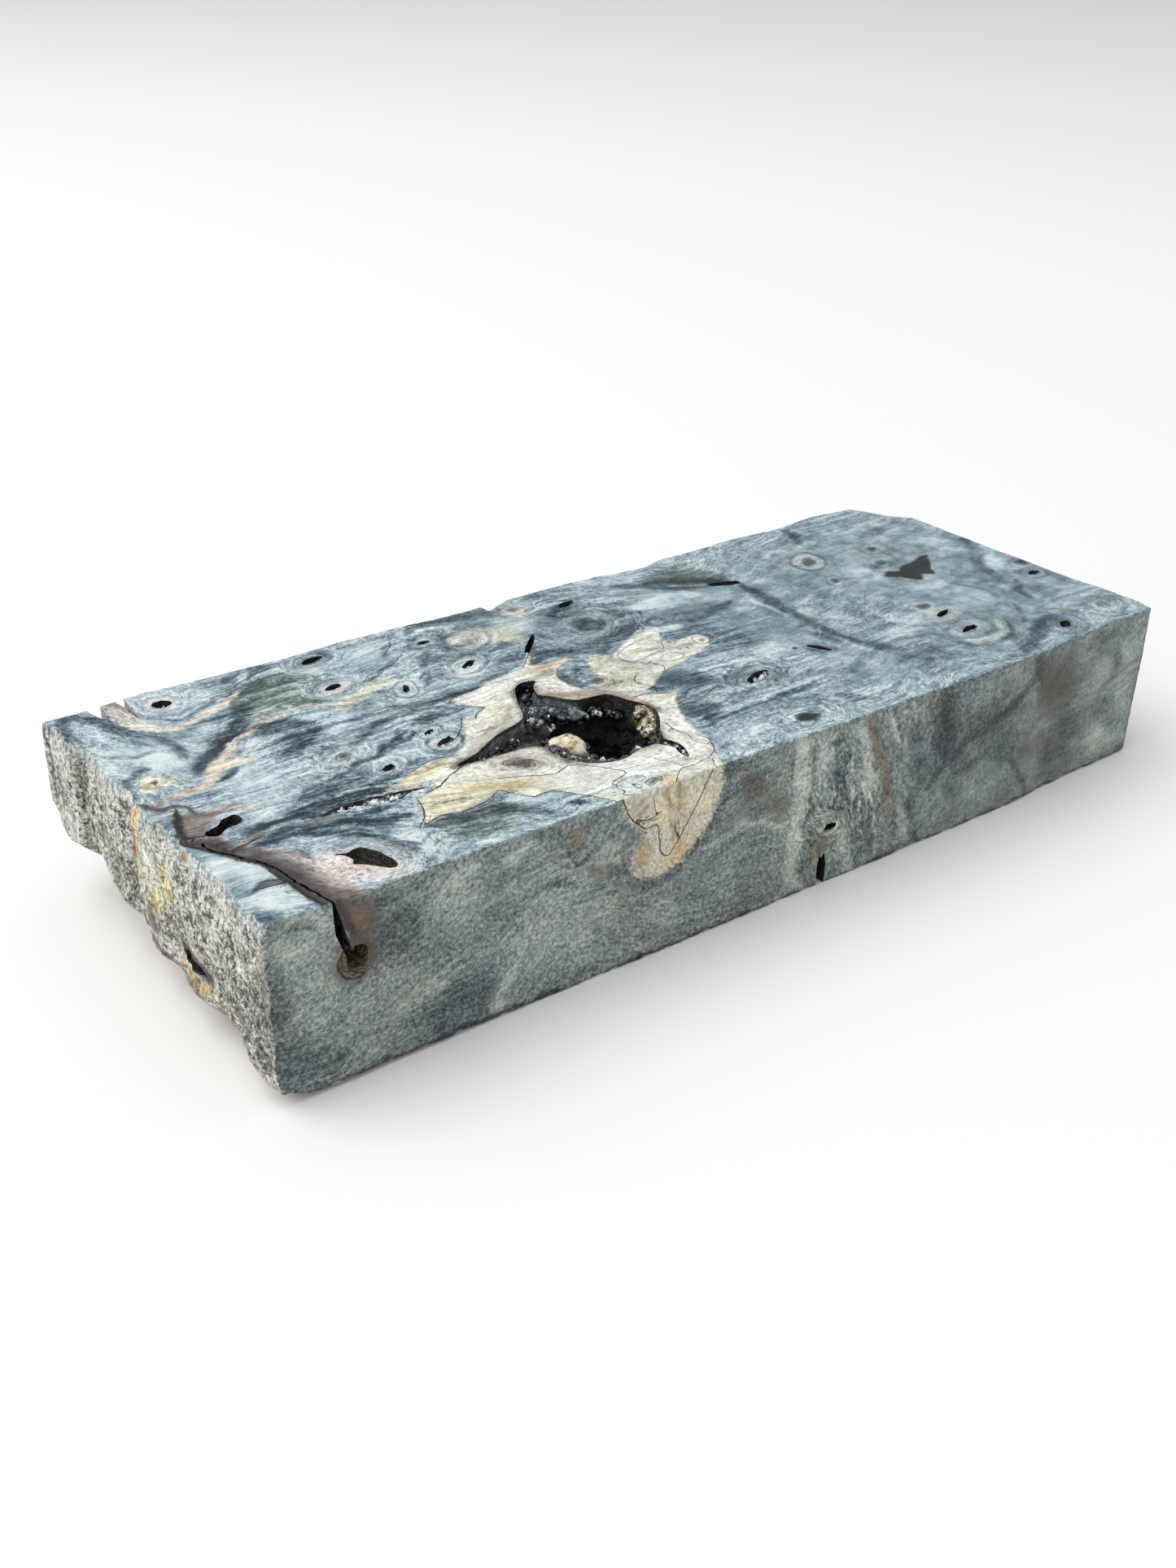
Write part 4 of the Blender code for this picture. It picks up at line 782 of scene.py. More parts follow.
        ((215, 219, 205, 0.9), 3.4, ((-1, 3), (1.4, 4.2), (3.4, 4.4))),
        ((191, 180, 148, 0.8), 1.2, ((-0.4, 2.6), (2, 3.4))),
        ((216, 223, 209, 0.9), 2.2, ((1.6, -0.6), (4.4, -1))),
        ((189, 190, 175, 0.8), 2.0, ((6, 1), (9, 1.4))),
        ((150, 158, 156, 0.8), 1.6, ((-2.4, 0.6), (-0.6, -1), (0.4, -3))),
        ((160, 164, 158, 0.7), 1.3, ((1.4, 2.4), (4.6, 1.4), (6.6, -1.4))),
        ((209, 213, 197, 0.8), 2.0, ((0, -3.2), (5, -2), (8.4, -0.8))),
        ((181, 186, 173, 0.8), 1.6, ((3, 6.6), (5.6, 5.6))),
        ((190, 173, 126, 0.9), 2.0, ((-19.4, -28), (-18.4, -25.4))),
        ((198, 215, 217, 0.9), 3.0, ((-24.6, -25.4), (-21, -25.6))),
    ),
    # width, path
    "lines": (
        (0.2, ((-34.5, -15.5), (-32, -16.5), (-28.5, -18.3), (-26.2, -17.4), (-24.2, -18.8), (-22.5, -21),
            (-21.6, -22.6), (-23.4, -23.2), (-24.8, -24), (-24.6, -26), (-25.2, -26.6), (-23.4, -27.6))),
        (0.24, ((-47.6, -19.8), (-46, -18.2), (-45, -16.4), (-44.4, -14.4))),
        (0.24, ((-46.8, -19.5), (-44, -18.9), (-42, -19.5), (-39.4, -19.2), (-37.4, -18.7), (-36, -17.7),
            (-35, -19.4), (-33.5, -21.3), (-31, -21.1), (-29.5, -23.4), (-28, -25.1), (-26.6, -27.8))),
        (0.18, ((-24.7, -24.4), (-23.6, -23.9), (-21.2, -23.9), (-20.5, -24.8), (-21.4, -25.2))),
        (0.18, ((-22.7, -25), (-22.2, -25.8), (-22.7, -26.6), (-23.1, -25.8), (-22.7, -25))),
        (0.18, ((-11, -25), (-13.5, -25.6), (-16, -25.5), (-17.4, -26.6), (-18.8, -28))),
        (0.18, ((-10, -24.4), (-11, -25), (-12.6, -28))),
        (0.2, ((-9.9, -15.6), (-10.2, -17.6), (-9.8, -19.4), (-10.2, -21.4), (-9.4, -22.6))),
        (0.2, ((-8.8, -20), (-8.6, -22.2), (-10, -24.6))), (0.2, ((-10.2, -17), (-11.2, -17.4))),
        (0.34, ((-42.4, -13.6), (-40.4, -13.1), (-39.2, -12.2), (-38, -11.6), (-36.2, -10.8))),
        (0.22, ((-28.4, 3.9), (-27.8, 2.6), (-26.8, 1.4), (-25.4, 0.4), (-27, -0.3), (-28, -1.6))),
        (0.22, ((-28.4, 3.9), (-27.2, 4.8), (-25, 5), (-22.6, 5.5))),
        (0.24, ((-29.4, -0.5), (-31, -2.9), (-33.4, -4.8))),
        (0.2, ((-35, -8.2), (-38, -7.4), (-41.4, -8.6))), (0.2, ((-14.6, 7.4), (-13, 9), (-11.6, 10.4))),
        (0.24, ((-8.6, -7.8), (-6.6, -7.8), (-5.4, -8.8), (-3.6, -9.3))),
        (0.24, ((-5.2, -8), (-4.6, -7), (-5.6, -5.2), (-5.4, -3.8), (-4.2, -2.8))),
        (0.2, ((-11.4, 4.5), (-12.9, 2.2), (-13, -0.2), (-12, -2.4))),
        (0.16, ((-2.8, 2.9), (-2.2, 3.6), (0.7, 5), (3.6, 5.3), (4.7, 3.2), (3.6, 1.4), (0.1, 0.7),
            (-2.1, 0.5), (-2.8, 1.6), (-2.8, 2.9))),
        (0.14, ((1.3, -0.5), (3.6, 0.2), (4.9, -1), (4.3, -2), (2.2, -2.2), (1.2, -1.4))),
        (0.16, ((-0.4, -3.8), (0.4, -2.6), (-0.6, -0.9), (0.4, -0.3), (1.2, -1))),
        (0.14, ((8.8, 1.6), (8.8, 0.2), (10, -0.3), (11.1, 0.6), (10.6, 1.9), (9.4, 2.2), (8.8, 1.6))),
        (0.18, ((-33, 14.8), (-29, 16.8), (-26.4, 18.6))),
        (1.0, ((-67.1, -2), (-67.5, -3.4), (-68.3, -4.5), (-68.2, -5.6), (-69, -6.6), (-68.8, -7.6))),
        (0.5, ((-68.8, -7.6), (-67.6, -8.1), (-66.4, -8.3))),
        (0.6, ((-69.9, -8), (-69.2, -9.2), (-68.3, -10.4), (-67.6, -11.6), (-66.8, -12.5), (-66, -13.6))),
        (0.5, ((-65.4, -15.4), (-64.8, -16.2), (-64.5, -17.4), (-64.5, -18.6), (-64.3, -20.2),
            (-64, -21.6), (-63.9, -23), (-63.8, -24.4), (-63.5, -26), (-63.2, -28))),
        (0.4, ((-64.2, -21.2), (-65.8, -20.9), (-66.8, -20.9))),
        (0.3, ((-66.1, -12.7), (-64.8, -12.4), (-63.5, -12.1), (-62.2, -11.7))),
        (0.3, ((-68.4, -8.6), (-67.3, -9.7), (-66.5, -11.2), (-66.1, -12.5))),
        (0.24, ((-60.9, 26.6), (-61, 24), (-60.9, 21.6))),
        (0.22, ((-27.4, 20.6), (-25.4, 22.4), (-24.6, 24))),
        (0.2, ((-16.8, -22), (-15.8, -23.6), (-15.4, -25))),
    ),
    # x, y, radius, stretch, turn in degrees, core, ring, outline, pinkness
    "eyes": (
        (-57.0, 23.3, 2.1, 1.0, 0, 0.0, 1.0, 0.5, 0.8), (-66.2, 5.5, 1.2, 1.2, 35, 0.9, 0.0, 0.3, 0.6),
        (-37.7, 15.8, 2.3, 1.6, 15, 0.0, 0.9, 0.5, 0.4), (-36.0, 24.4, 2.0, 1.7, 15, 0.0, 0.2, 0.6, 0.0),
        (-45.8, -0.8, 2.3, 1.5, 35, 0.9, 0.7, 0.3, 0.2), (-43.1, -6.3, 1.4, 1.5, 30, 0.0, 0.3, 0.5, 0.0),
        (-34.3, -4.5, 2.0, 1.4, 30, 0.0, 0.6, 0.8, 0.0), (-34.4, -1.4, 1.4, 1.6, 30, 0.0, 0.4, 0.6, 0.0),
        (-21.2, 21.0, 1.6, 1.7, 5, 0.0, 0.6, 0.6, 0.0), (-16.0, 18.5, 2.9, 1.2, 20, 0.35, 0.8, 0.5, 0.3),
        (-30.6, 10.2, 1.8, 1.6, 62, 0.0, 0.6, 0.7, 0.0), (-20.0, 12.0, 2.4, 1.6, 35, 0.0, 0.8, 0.6, 0.0),
        (-9.4, -1.4, 2.2, 1.1, 20, 1.0, 0.0, 0.0, 1.0),
        (-30.2, -13.9, 3.9, 1.35, -36, 1.0, 0.0, 0.0, 0.6),
        (-20.3, -25.9, 2.2, 1.5, 20, 0.9, 0.3, 0.0, 0.2), (0.8, 13.3, 4.4, 1.1, 0, 0.35, 0.3, 0.4, 0.0),
        (8.2, -12.0, 3.0, 1.5, 20, 0.0, 0.4, 0.6, 0.0), (5.5, -24.0, 3.2, 1.2, 10, 1.0, 0.2, 0.0, 0.0),
        (42.1, 13.8, 2.8, 1.4, 50, 0.8, 1.0, 0.8, 0.5), (40.0, 6.0, 1.5, 1.5, 55, 0.8, 0.3, 0.4, 0.0),
        (54.0, 12.1, 1.8, 1.2, 30, 0.7, 0.3, 0.0, 0.0), (51.0, 7.5, 1.8, 1.2, 40, 0.5, 0.3, 0.2, 0.0),
        (43.5, -8.0, 2.0, 1.5, 10, 0.8, 0.5, 0.2, 0.0), (43.8, -11.3, 2.8, 1.6, 18, 0.0, 0.7, 0.2, 0.8),
        (43.0, -17.0, 3.0, 1.6, 12, 0.0, 0.3, 0.5, 0.2), (55.2, -23.5, 3.0, 1.2, 35, 0.5, 0.1, 0.6, 0.0),
        (21.2, -10.0, 1.5, 1.8, -60, 0.9, 0.0, 0.0, 0.0), (67.0, -8.3, 2.0, 1.3, 10, 0.0, 0.3, 0.4, 0.2),
        (69.2, -4.5, 2.2, 1.6, 22, 0.8, 0.2, 0.3, 0.0), (65.8, -22.0, 2.8, 1.0, 0, 0.6, 0.2, 0.3, 0.0),
        (10.0, 0.9, 1.2, 1.3, 30, 0.6, 0.6, 0.3, 1.0), (-0.1, -1.7, 1.0, 1.4, 10, 1.0, 0.2, 0.3, 0.1),
        (6.7, 0.0, 0.8, 1.4, 10, 0.8, 0.2, 0.1, 0.6), (5.7, 2.8, 0.9, 1.4, 15, 0.5, 0.5, 0.6, 0.4),
        (-5.5, -5.0, 1.0, 1.2, 15, 0.4, 0.2, 0.5, 0.0), (-3.7, 14.1, 1.0, 1.4, 10, 0.6, 0.2, 0.2, 0.0),
        (9.3, 9.2, 1.5, 1.6, 15, 0.5, 0.2, 0.3, 0.0), (-5.0, 23.4, 1.8, 1.5, 10, 0.8, 0.5, 0.5, 0.3),
        (18.4, -8.2, 1.1, 1.3, 40, 0.6, 0.3, 0.2, 0.0),
        (-54.0, -22.4, 4.2, 1.3, -60, 0.0, 0.4, 0.0, 0.9),
    ),
    # x, y, direction of the grain in degrees, reach
    "flow": (
        (-69, 22, -75, 3), (-66.5, 25, -35, 2.5), (-64.5, 20, -65, 3), (-61.5, 14.5, -65, 3),
        (-60.8, 9.5, -95, 2.5), (-66.5, 14, -60, 4), (-67, 9, -40, 4), (-60.5, 18, -35, 2.5),
        (-56.5, 17, 5, 2.5), (-52, 19, 28, 2.5), (-48, 21.5, 42, 3), (-52, 24.5, 30, 4),
        (-44, 24, 52, 4), (-46, 17, 35, 4), (-53, 13, 45, 3), (-58, 7.5, 45, 3), (-49, 12.4, 20, 3),
        (-44.5, 13.3, 0, 3), (-40.5, 12, -15, 3), (-36, 12.4, 20, 3.5), (-62, 1.5, 20, 3),
        (-57, 5, 42, 3), (-52.5, 7, 75, 2.5), (-48, 9.5, 20, 3), (-46, 6, 60, 3), (-49.5, 3.5, 40, 3),
        (-42, 7, 60, 3), (-57, -1.5, 50, 5), (-52, -3, 60, 4), (-61.5, -5, 40, 4), (-46, -3.6, 18, 3),
        (-41, -1.8, 35, 3), (-38, 3.5, 35, 3.5), (-49, -7, 15, 3), (-60, -9.8, 14, 3), (-53, -9, 2, 3),
        (-46, -9.6, -12, 3), (-62, -12.6, 8, 2.5), (-54, -12, 0, 3), (-46, -12.4, -6, 3),
        (-59, -14.5, -6, 3), (-52, -16, -32, 3), (-48, -17.6, -40, 3), (-51.4, -22, -65, 3),
        (-46, -22, -40, 3), (-42, -21, -12, 3), (-37, -23.5, -30, 3.5), (-44, -26, -32, 3),
        (-67, -15, 12, 4), (-67, -23, 8, 4), (-62.5, -20, -78, 3), (-60, -16.4, -35, 3),
        (-64.5, -4.5, 20, 3), (-33, 22, 52, 4), (-30, 17, 36, 4), (-25, 21.5, 45, 4), (-21, 25, 70, 2.5),
        (-15, 25, 5, 4), (-26, 14, 48, 4), (-33, 8.5, 25, 4), (-25, 8, 30, 4), (-18, 8.4, 20, 3),
        (-22, 16.5, 50, 3), (-11, 21.5, 0, 4), (-9.5, 16, 52, 4), (-13, 13, 48, 4), (-3, 22.5, 42, 4),
        (-5.5, 11.4, 40, 4), (-7, 7.4, -12, 3), (-1, 7.2, 12, 3), (5, 9.2, 8, 3), (-32, 3.6, -8, 3),
        (-30, 0.4, 20, 3), (-25, 3.6, 12, 3), (-19, 5.6, 18, 3), (-13, 6, 14, 3), (-27, -2.4, 32, 4),
        (-33, -7.8, 28, 3), (-39, -8.4, 14, 3), (-40, -16.4, 6, 4), (-32, -13, 5, 3),
        (-28, -15.6, -30, 3), (-30, -19, -8, 4), (-20, -22.6, -5, 4), (-26.6, -23, 10, 3),
        (-10, -18, -75, 3), (-8, -12.4, -60, 3), (-13.6, 0, -50, 2.5), (-8, 0, -30, 4), (-5, -7, 45, 3),
        (0, -7, 28, 4), (-4, -12.6, 55, 4), (-2, -17.8, -4, 4), (7, -17.8, 2, 4), (14, -17, 14, 4),
        (-4, -23, 62, 4), (3, -21, 40, 4), (10, -22, 35, 4), (17, -22, 55, 4), (4, -9.6, 24, 4),
        (13, -10, 30, 4), (16, -5, 28, 4), (10, -4, 22, 4), (2, 1.2, 20, 3), (8, 1, 25, 3),
        (13, 4, 14, 4), (19, 5, 22, 4), (4, 18.6, 10, 4), (9, 15, -2, 4), (12, 21, -36, 4),
        (18, 18.6, -32, 3), (22.5, 21, -38, 4), (16, 11.6, 4, 4), (22, 11, 20, 3), (24.4, 6, 72, 3),
        (27, 8, 86, 3), (26.4, 0, 92, 3), (26.8, -8, 88, 3), (26.6, -16, 96, 4), (22, -1.6, 60, 4),
        (21, -15, 30, 4), (24, -22, 60, 4), (30, 20, 46, 5), (30, 13, 40, 4), (33, 6, 50, 5),
        (31, -2, 62, 4), (32, -9.6, 22, 4), (33, -14.6, 18, 5), (31, -20, -5, 4), (37, -24, -15, 5),
        (38, 24, 44, 6), (37, 17, 48, 4), (47.6, 22.6, 62, 4), (55, 24, 32, 5), (62, 23.6, 30, 5),
        (48.6, 15.4, 20, 4), (58, 16.8, 18, 5), (66, 16, 35, 5), (46, 8, 35, 4), (56, 9.4, 26, 5),
        (63, 10, 30, 5), (68, 8, 60, 4), (38, 7, 62, 4), (38.6, -2, 60, 4), (46, -2, 22, 5),
        (56, -4.6, 40, 5), (62.6, -2.6, 60, 4), (66.6, -1, 48, 4), (37, -9, 40, 4), (50, -10, 24, 5),
        (60, -11.4, 52, 4), (66, -13, 15, 4), (51.6, -17.4, 55, 4), (46, -23, 18, 4), (52, -23, 34, 4),
        (59, -20.6, 38, 4), (61, -25.4, 20, 4), (39, -19, -6, 4), (64, -17, 10, 4),
    ),
}
frontPaint = {
    "tone": 0.46,
    "tones": (
        (0.6, 12.0, ((-40, 12), (-31, 8))), (0.3, 16.0, ((28, 14), (38, 10))),
        (0.42, 22.0, ((56, 12), (64, 10))), (0.56, 9.0, ((-65, 18), (-64, 12))),
        (0.34, 5.0, ((-69.6, 15), (-69.4, 6), (-67.5, 2.4))),
        (0.62, 2.4, ((-68.6, 19.4), (-66.4, 17.8), (-64.6, 18.8))),
        (0.62, 4.0, ((-66.4, 21.8), (-63.6, 20.8))),
        (0.42, 1.0, ((-69, 21), (-66, 21.2), (-63.8, 19.8))), (0.2, 1.6, ((-69.5, 11.5),)),
        (0.24, 1.4, ((-69.5, 8),)), (0.3, 1.5, ((-69, 4),)),
        (0.3, 5.0, ((-57, 20.4), (-55.4, 16), (-54, 13.4))), (0.25, 2.4, ((-57.4, 21), (-55.4, 20))),
        (0.14, 0.8, ((-53.4, 16.8), (-52.8, 17.4))), (0.36, 3.0, ((-57, 13.4), (-52, 13.8))),
        (0.54, 5.0, ((-60, 8.6), (-50, 8.2))), (0.3, 7.0, ((-51, 4.4), (-45, 3.4))),
        (0.36, 3.4, ((-66.8, 5), (-62, 3.4))), (0.6, 6.0, ((-49, 16), (-47, 20))),
        (0.42, 6.0, ((-43, 12), (-40, 14))),
        (0.6, 1.4, ((-42.6, 2), (-41.6, 4.6), (-40, 8), (-38.2, 12))), (0.74, 1.6, ((-42.3, 1.6),)),
        (0.68, 1.0, ((-41.8, 3), (-40.4, 6.4))), (0.62, 0.9, ((-38.6, 3.4), (-37, 6), (-35.4, 9))),
        (0.66, 1.4, ((-42, 20.4), (-40, 20.6), (-38, 21.2))), (0.56, 7.0, ((-33, 8), (-31, 4))),
        (0.36, 1.0, ((-36.8, 15.2), (-32, 13.8))), (0.34, 3.0, ((-27, 14), (-25, 13))),
        (0.6, 3.4, ((-29, 15.6), (-26.4, 17.4))), (0.34, 2.6, ((-36.6, 21.6), (-33.6, 20.8))),
        (0.3, 0.9, ((-33.6, 18.6), (-32, 16.6), (-30.4, 17), (-29.6, 17.8))),
        (0.56, 4.0, ((-22, 6), (-17, 5))),
        (0.3, 1.8, ((-24.6, 11.4), (-22, 10), (-18.4, 10.4), (-15, 12.8), (-12.6, 15.2), (-10.6, 18.6))),
        (0.26, 3.4, ((-11, 21.8), (-8.8, 21.4))), (0.36, 5.0, ((-9, 19), (-4, 18.6))),
        (0.5, 5.0, ((-12, 8), (-6, 7))),
        (0.66, 0.7, ((-14, 12), (-10, 12.8), (-7.7, 13.8), (-6, 13), (-3, 12), (0, 11))),
        (0.42, 5.0, ((-4, 3.6), (-9, 2.6))), (0.7, 3.4, ((1.4, 22), (1.6, 14), (1.8, 6), (2.4, 1))),
        (0.66, 3.6, ((5.6, 20.6), (5, 14))), (0.4, 0.8, ((-0.2, 22), (0.2, 15))),
        (0.3, 1.0, ((5.8, 20.2), (8.6, 20))), (0.22, 0.9, ((9.3, 18), (9.1, 16.8))),
        (0.34, 1.6, ((8.6, 17), (8.4, 13), (9, 9.4))), (0.7, 2.2, ((11, 21.6), (12.8, 16), (14, 10))),
        (0.64, 1.8, ((8.8, 7.6), (10.2, 4), (11.6, 0.4))),
        (0.36, 2.2, ((12.8, 21.6), (14.6, 17.4), (15.2, 14))),
        (0.66, 1.4, ((16, 22), (17.6, 18.6), (19.4, 16))),
        (0.3, 0.5, ((16.5, 22.4), (18.4, 18.2), (19, 14.4))), (0.36, 3.4, ((12, 8), (15.4, 3))),
        (0.42, 4.0, ((4, 4),)), (0.36, 3.0, ((21, 18), (23.4, 12), (22, 6))),
        (0.34, 0.5, ((3.4, 21.6), (3.6, 14), (4, 8))), (0.3, 0.5, ((7.2, 21), (7.6, 15), (7.4, 10))),
        (0.36, 0.5, ((10.2, 20), (11, 12), (12.4, 5))), (0.66, 0.5, ((9.6, 21), (10.4, 15), (11.4, 9))),
        (0.7, 0.5, ((0.4, 20), (0.8, 10), (1, 2))), (0.3, 0.5, ((17.2, 14), (18.4, 9), (19.6, 3))),
        (0.66, 0.6, ((14.4, 12), (15.6, 6), (16.4, 1))), (0.28, 0.5, ((3, 12), (3.2, 6), (3.6, 1))),
        (0.62, 1.6, ((20, 7), (21.6, 2))), (0.3, 1.2, ((21, 10), (23, 3), (24.5, 0))),
        (0.34, 14.0, ((27, 18), (33, 14))), (0.16, 4.0, ((26.6, 22), (26.8, 16), (28.8, 12))),
        (0.2, 1.8, ((25, 8), (30, 12), (36, 14.4), (40, 15.8), (44, 18.4))),
        (0.46, 4.0, ((31.6, 19.4), (38.6, 20))), (0.52, 6.0, ((33, 6), (40, 5))),
        (0.44, 5.0, ((27, 5), (29, 3))),
        (0.34, 1.2, ((40.6, 13.4), (41.5, 9), (43.4, 5), (45.4, 2.4), (46.4, 0.6))),
        (0.32, 8.0, ((46, 20), (51, 16))), (0.16, 2.4, ((44.5, 21.5), (46, 18.4))),
        (0.2, 2.6, ((49.4, 15.6), (51.4, 15))), (0.44, 4.0, ((44, 12), (45, 7))),
        (0.3, 5.0, ((53, 9), (56, 7))), (0.34, 8.0, ((54, 3), (49, 6))),
        (0.34, 2.6, ((56.6, 20), (62, 20.6))), (0.54, 8.0, ((59, 14), (66, 16))),
        (0.62, 4.4, ((60, 4.4), (66, 3.4))), (0.56, 5.0, ((67, 9), (67.6, 20))),
        (0.3, 1.1, ((62.2, 10.8), (62.8, 9.8))), (0.4, 2.0, ((60.6, 12), (63.6, 14), (64, 19))),
        (0.24, 1.3, ((68, 0.8), (70.4, 1))),
        # dark line along the foot of the front: painted shade where the block meets the floor
        (0.12, 0.9, ((-66, 0.5), (-50, 0.6), (-36, 0.2), (-18, 0), (0, -0.1), (24, -0.1), (48, 0),
            (70, 0))),
        (0.2, 1.0, ((70.4, 1), (70.4, 22))),
    ),
    "patches": (),
    "green": 0.0,
    "greens": (),
    "contrast": 0.95,
    "contrasts": (
        (0.5, 40.0, ((45, 16), (60, 6), (34, 8))), (0.7, 8.0, ((24, 14),)),
        (1.5, 12.0, ((4, 10), (14, 10))),
    ),
    "stains": (
        ((90, 80, 72, 0.8), 4.0, ((-60.4, 22), (-59.2, 19.8), (-58.8, 16.6))),
        ((60, 52, 46, 0.85), 1.6, ((-61.8, 22.6), (-61, 20.4), (-60, 17.8))),
        ((112, 94, 76, 0.7), 1.0, ((-59.8, 20.6), (-58.9, 18))),
        ((70, 62, 46, 0.85), 5.0, ((-60.1, 14.8),)), ((118, 104, 74, 0.8), 3.2, ((-60.3, 14.4),)),
        ((120, 106, 92, 0.6), 1.0, ((-62.4, 17.2), (-61.6, 16.4))),
        ((128, 108, 84, 0.55), 3.2, ((-32.6, 20.6), (-31.4, 18.8))),
        ((104, 90, 72, 0.55), 2.4, ((-30, 15), (-26.6, 13.6))),
        ((96, 86, 76, 0.5), 5.0, ((-9, 15.4), (-4, 15.6), (-1.4, 13.2))),
        ((96, 84, 70, 0.55), 3.0, ((-8, 19.4), (-5, 18))),
        ((128, 112, 96, 0.45), 2.6, ((15.4, 16.4), (16.6, 12.4), (17.6, 9), (18.6, 5), (19.4, 0.6))),
        ((96, 76, 60, 0.55), 1.0, ((16.6, 13.4), (17.8, 9.6))),
        ((124, 104, 86, 0.55), 1.9, ((12.4, 22), (13.4, 19.6), (15, 15.8))),
        ((98, 76, 60, 0.55), 1.7, ((6.2, 8), (6.3, 4))),
        ((146, 124, 96, 0.55), 0.9, ((5, 8), (5.2, 3), (4.8, 0.8))),
        ((82, 74, 60, 0.55), 9.0, ((47, 19), (50.4, 15), (52, 19))),
        ((84, 78, 66, 0.55), 9.0, ((53, 8), (51, 4.6))),
        ((98, 92, 80, 0.55), 6.0, ((44.6, 10.6), (45.8, 6.6))),
        ((74, 66, 48, 0.55), 1.6, ((46.2, 1.2),)),
        # brown along the foot of the front: painted shade where the block meets the floor
        ((66, 54, 44, 0.55), 0.9, ((-38, 0.1), (-18, 0), (0, -0.1), (24, -0.1))),
    ),
    "cream": (
        ((-26.4, 23.4), (-25.8, 20.6), (-24.8, 18.8), (-22.8, 17.6), (-23, 16.4), (-24.4, 14.4),
            (-24.3, 12.2), (-22.2, 11), (-20, 10.8), (-18, 11.3), (-16, 12.5), (-14, 14), (-12.5, 16),
            (-11.4, 18.5), (-11, 20), (-11.6, 23.4)),
    ),
    "creamTint": (190, 186, 167),
    "creamTints": (
        ((170, 150, 110, 0.9), 2.6, ((-23, 15.6), (-22.4, 12.6))),
        ((170, 160, 140, 0.9), 2.4, ((-24.6, 20.4), (-22.4, 20.6))),
        ((190, 172, 128, 0.9), 3.4, ((-19, 12), (-15.6, 14))),
        ((152, 128, 88, 0.9), 1.1, ((-19.4, 22), (-19, 18), (-18.4, 15.4))),
        ((166, 142, 98, 0.9), 0.8, ((-17.6, 22), (-17.8, 18))),
        ((212, 202, 172, 0.9), 2.6, ((-15, 20), (-13.4, 17.6))),
        ((206, 192, 158, 0.9), 1.6, ((-20.4, 21), (-20, 17))),
        ((204, 196, 170, 0.9), 1.6, ((-16.6, 21), (-16.2, 18.6))),
    ),
    "lines": (
        (0.4, ((-61.2, 16.6), (-62, 15.6), (-62, 14.2), (-61.2, 12.9), (-60, 12.6), (-59, 12.9))),
        (0.36, ((-61, 15.4), (-60.9, 14), (-60.1, 13.4), (-59.2, 13.6))),
        (0.24, ((-26, 22.6), (-25.2, 20.4), (-24, 19), (-22.5, 17.8), (-21.3, 18), (-20.7, 17.4),
            (-20.5, 16), (-20.2, 14), (-19.3, 13.2), (-18.5, 13.5), (-17.5, 14.8), (-16, 17.2),
            (-14.5, 19.5), (-13.5, 21.4), (-12.7, 22.6))),
        (0.2, ((-17.6, 14.8), (-18, 16), (-18.3, 17))),
        (0.2, ((-24, 19.5), (-22.5, 18.8), (-20.5, 19.2))),
        (0.16, ((-21.6, 21.6), (-21.4, 20.4), (-21.2, 19.2))),
    ),
    "eyes": (
        (-60.1, 14.9, 2.6, 1.0, 0, 0.0, 0.0, 0.2, 1.0), (-53.2, 17.0, 0.9, 1.3, 60, 0.8, 0.0, 0.2, 0.0),
        (7.5, 8.4, 1.5, 1.3, -30, 0.0, 0.2, 0.1, 0.2), (62.5, 10.3, 1.0, 1.2, -50, 0.7, 0.0, 0.2, 0.0),
    ),
    "flow": (
        (-67, 20, 215, 4), (-66, 12, 200, 4), (-67.4, 5, 140, 4), (-63, 17, 205, 3), (-56, 17, 182, 4),
        (-55, 8, 180, 5), (-46, 8, 182, 5), (-50, 3, 180, 5), (-47, 19, 228, 4), (-45, 14, 155, 4),
        (-41.5, 18, 150, 4), (-41, 6, 242, 3), (-38.4, 12, 235, 3), (-36, 6, 232, 4), (-34, 17, 150, 4),
        (-31, 6, 165, 5), (-28, 20, 190, 4), (-25, 7, 158, 5), (-17, 6, 160, 5), (-10, 6, 172, 5),
        (-9, 13, 186, 3), (-4, 14, 166, 3), (-6, 19, 172, 4), (-3, 6, 150, 3), (-17, 19, 104, 4),
        (-22, 15, 110, 3), (-16, 13, 40, 2), (1, 12, 92, 3), (1.6, 3, 92, 3), (5, 15, 96, 3),
        (5, 3, 88, 3), (9, 13, 100, 3), (10.4, 3, 112, 3), (12.6, 17, 112, 3), (14.4, 8, 106, 3),
        (17.4, 9, 106, 3), (18, 18, 114, 3), (22, 6, 112, 3), (22, 17, 104, 3), (28, 10, 200, 4),
        (35, 14, 198, 4), (34, 4, 180, 5), (28, 18, 110, 4), (38, 20, 190, 4), (44, 7, 118, 3),
        (46, 19, 205, 4), (52, 14, 175, 5), (52, 5, 160, 5), (62, 16, 190, 5), (63, 5, 170, 5),
        (68, 12, 185, 4),
    ),
}
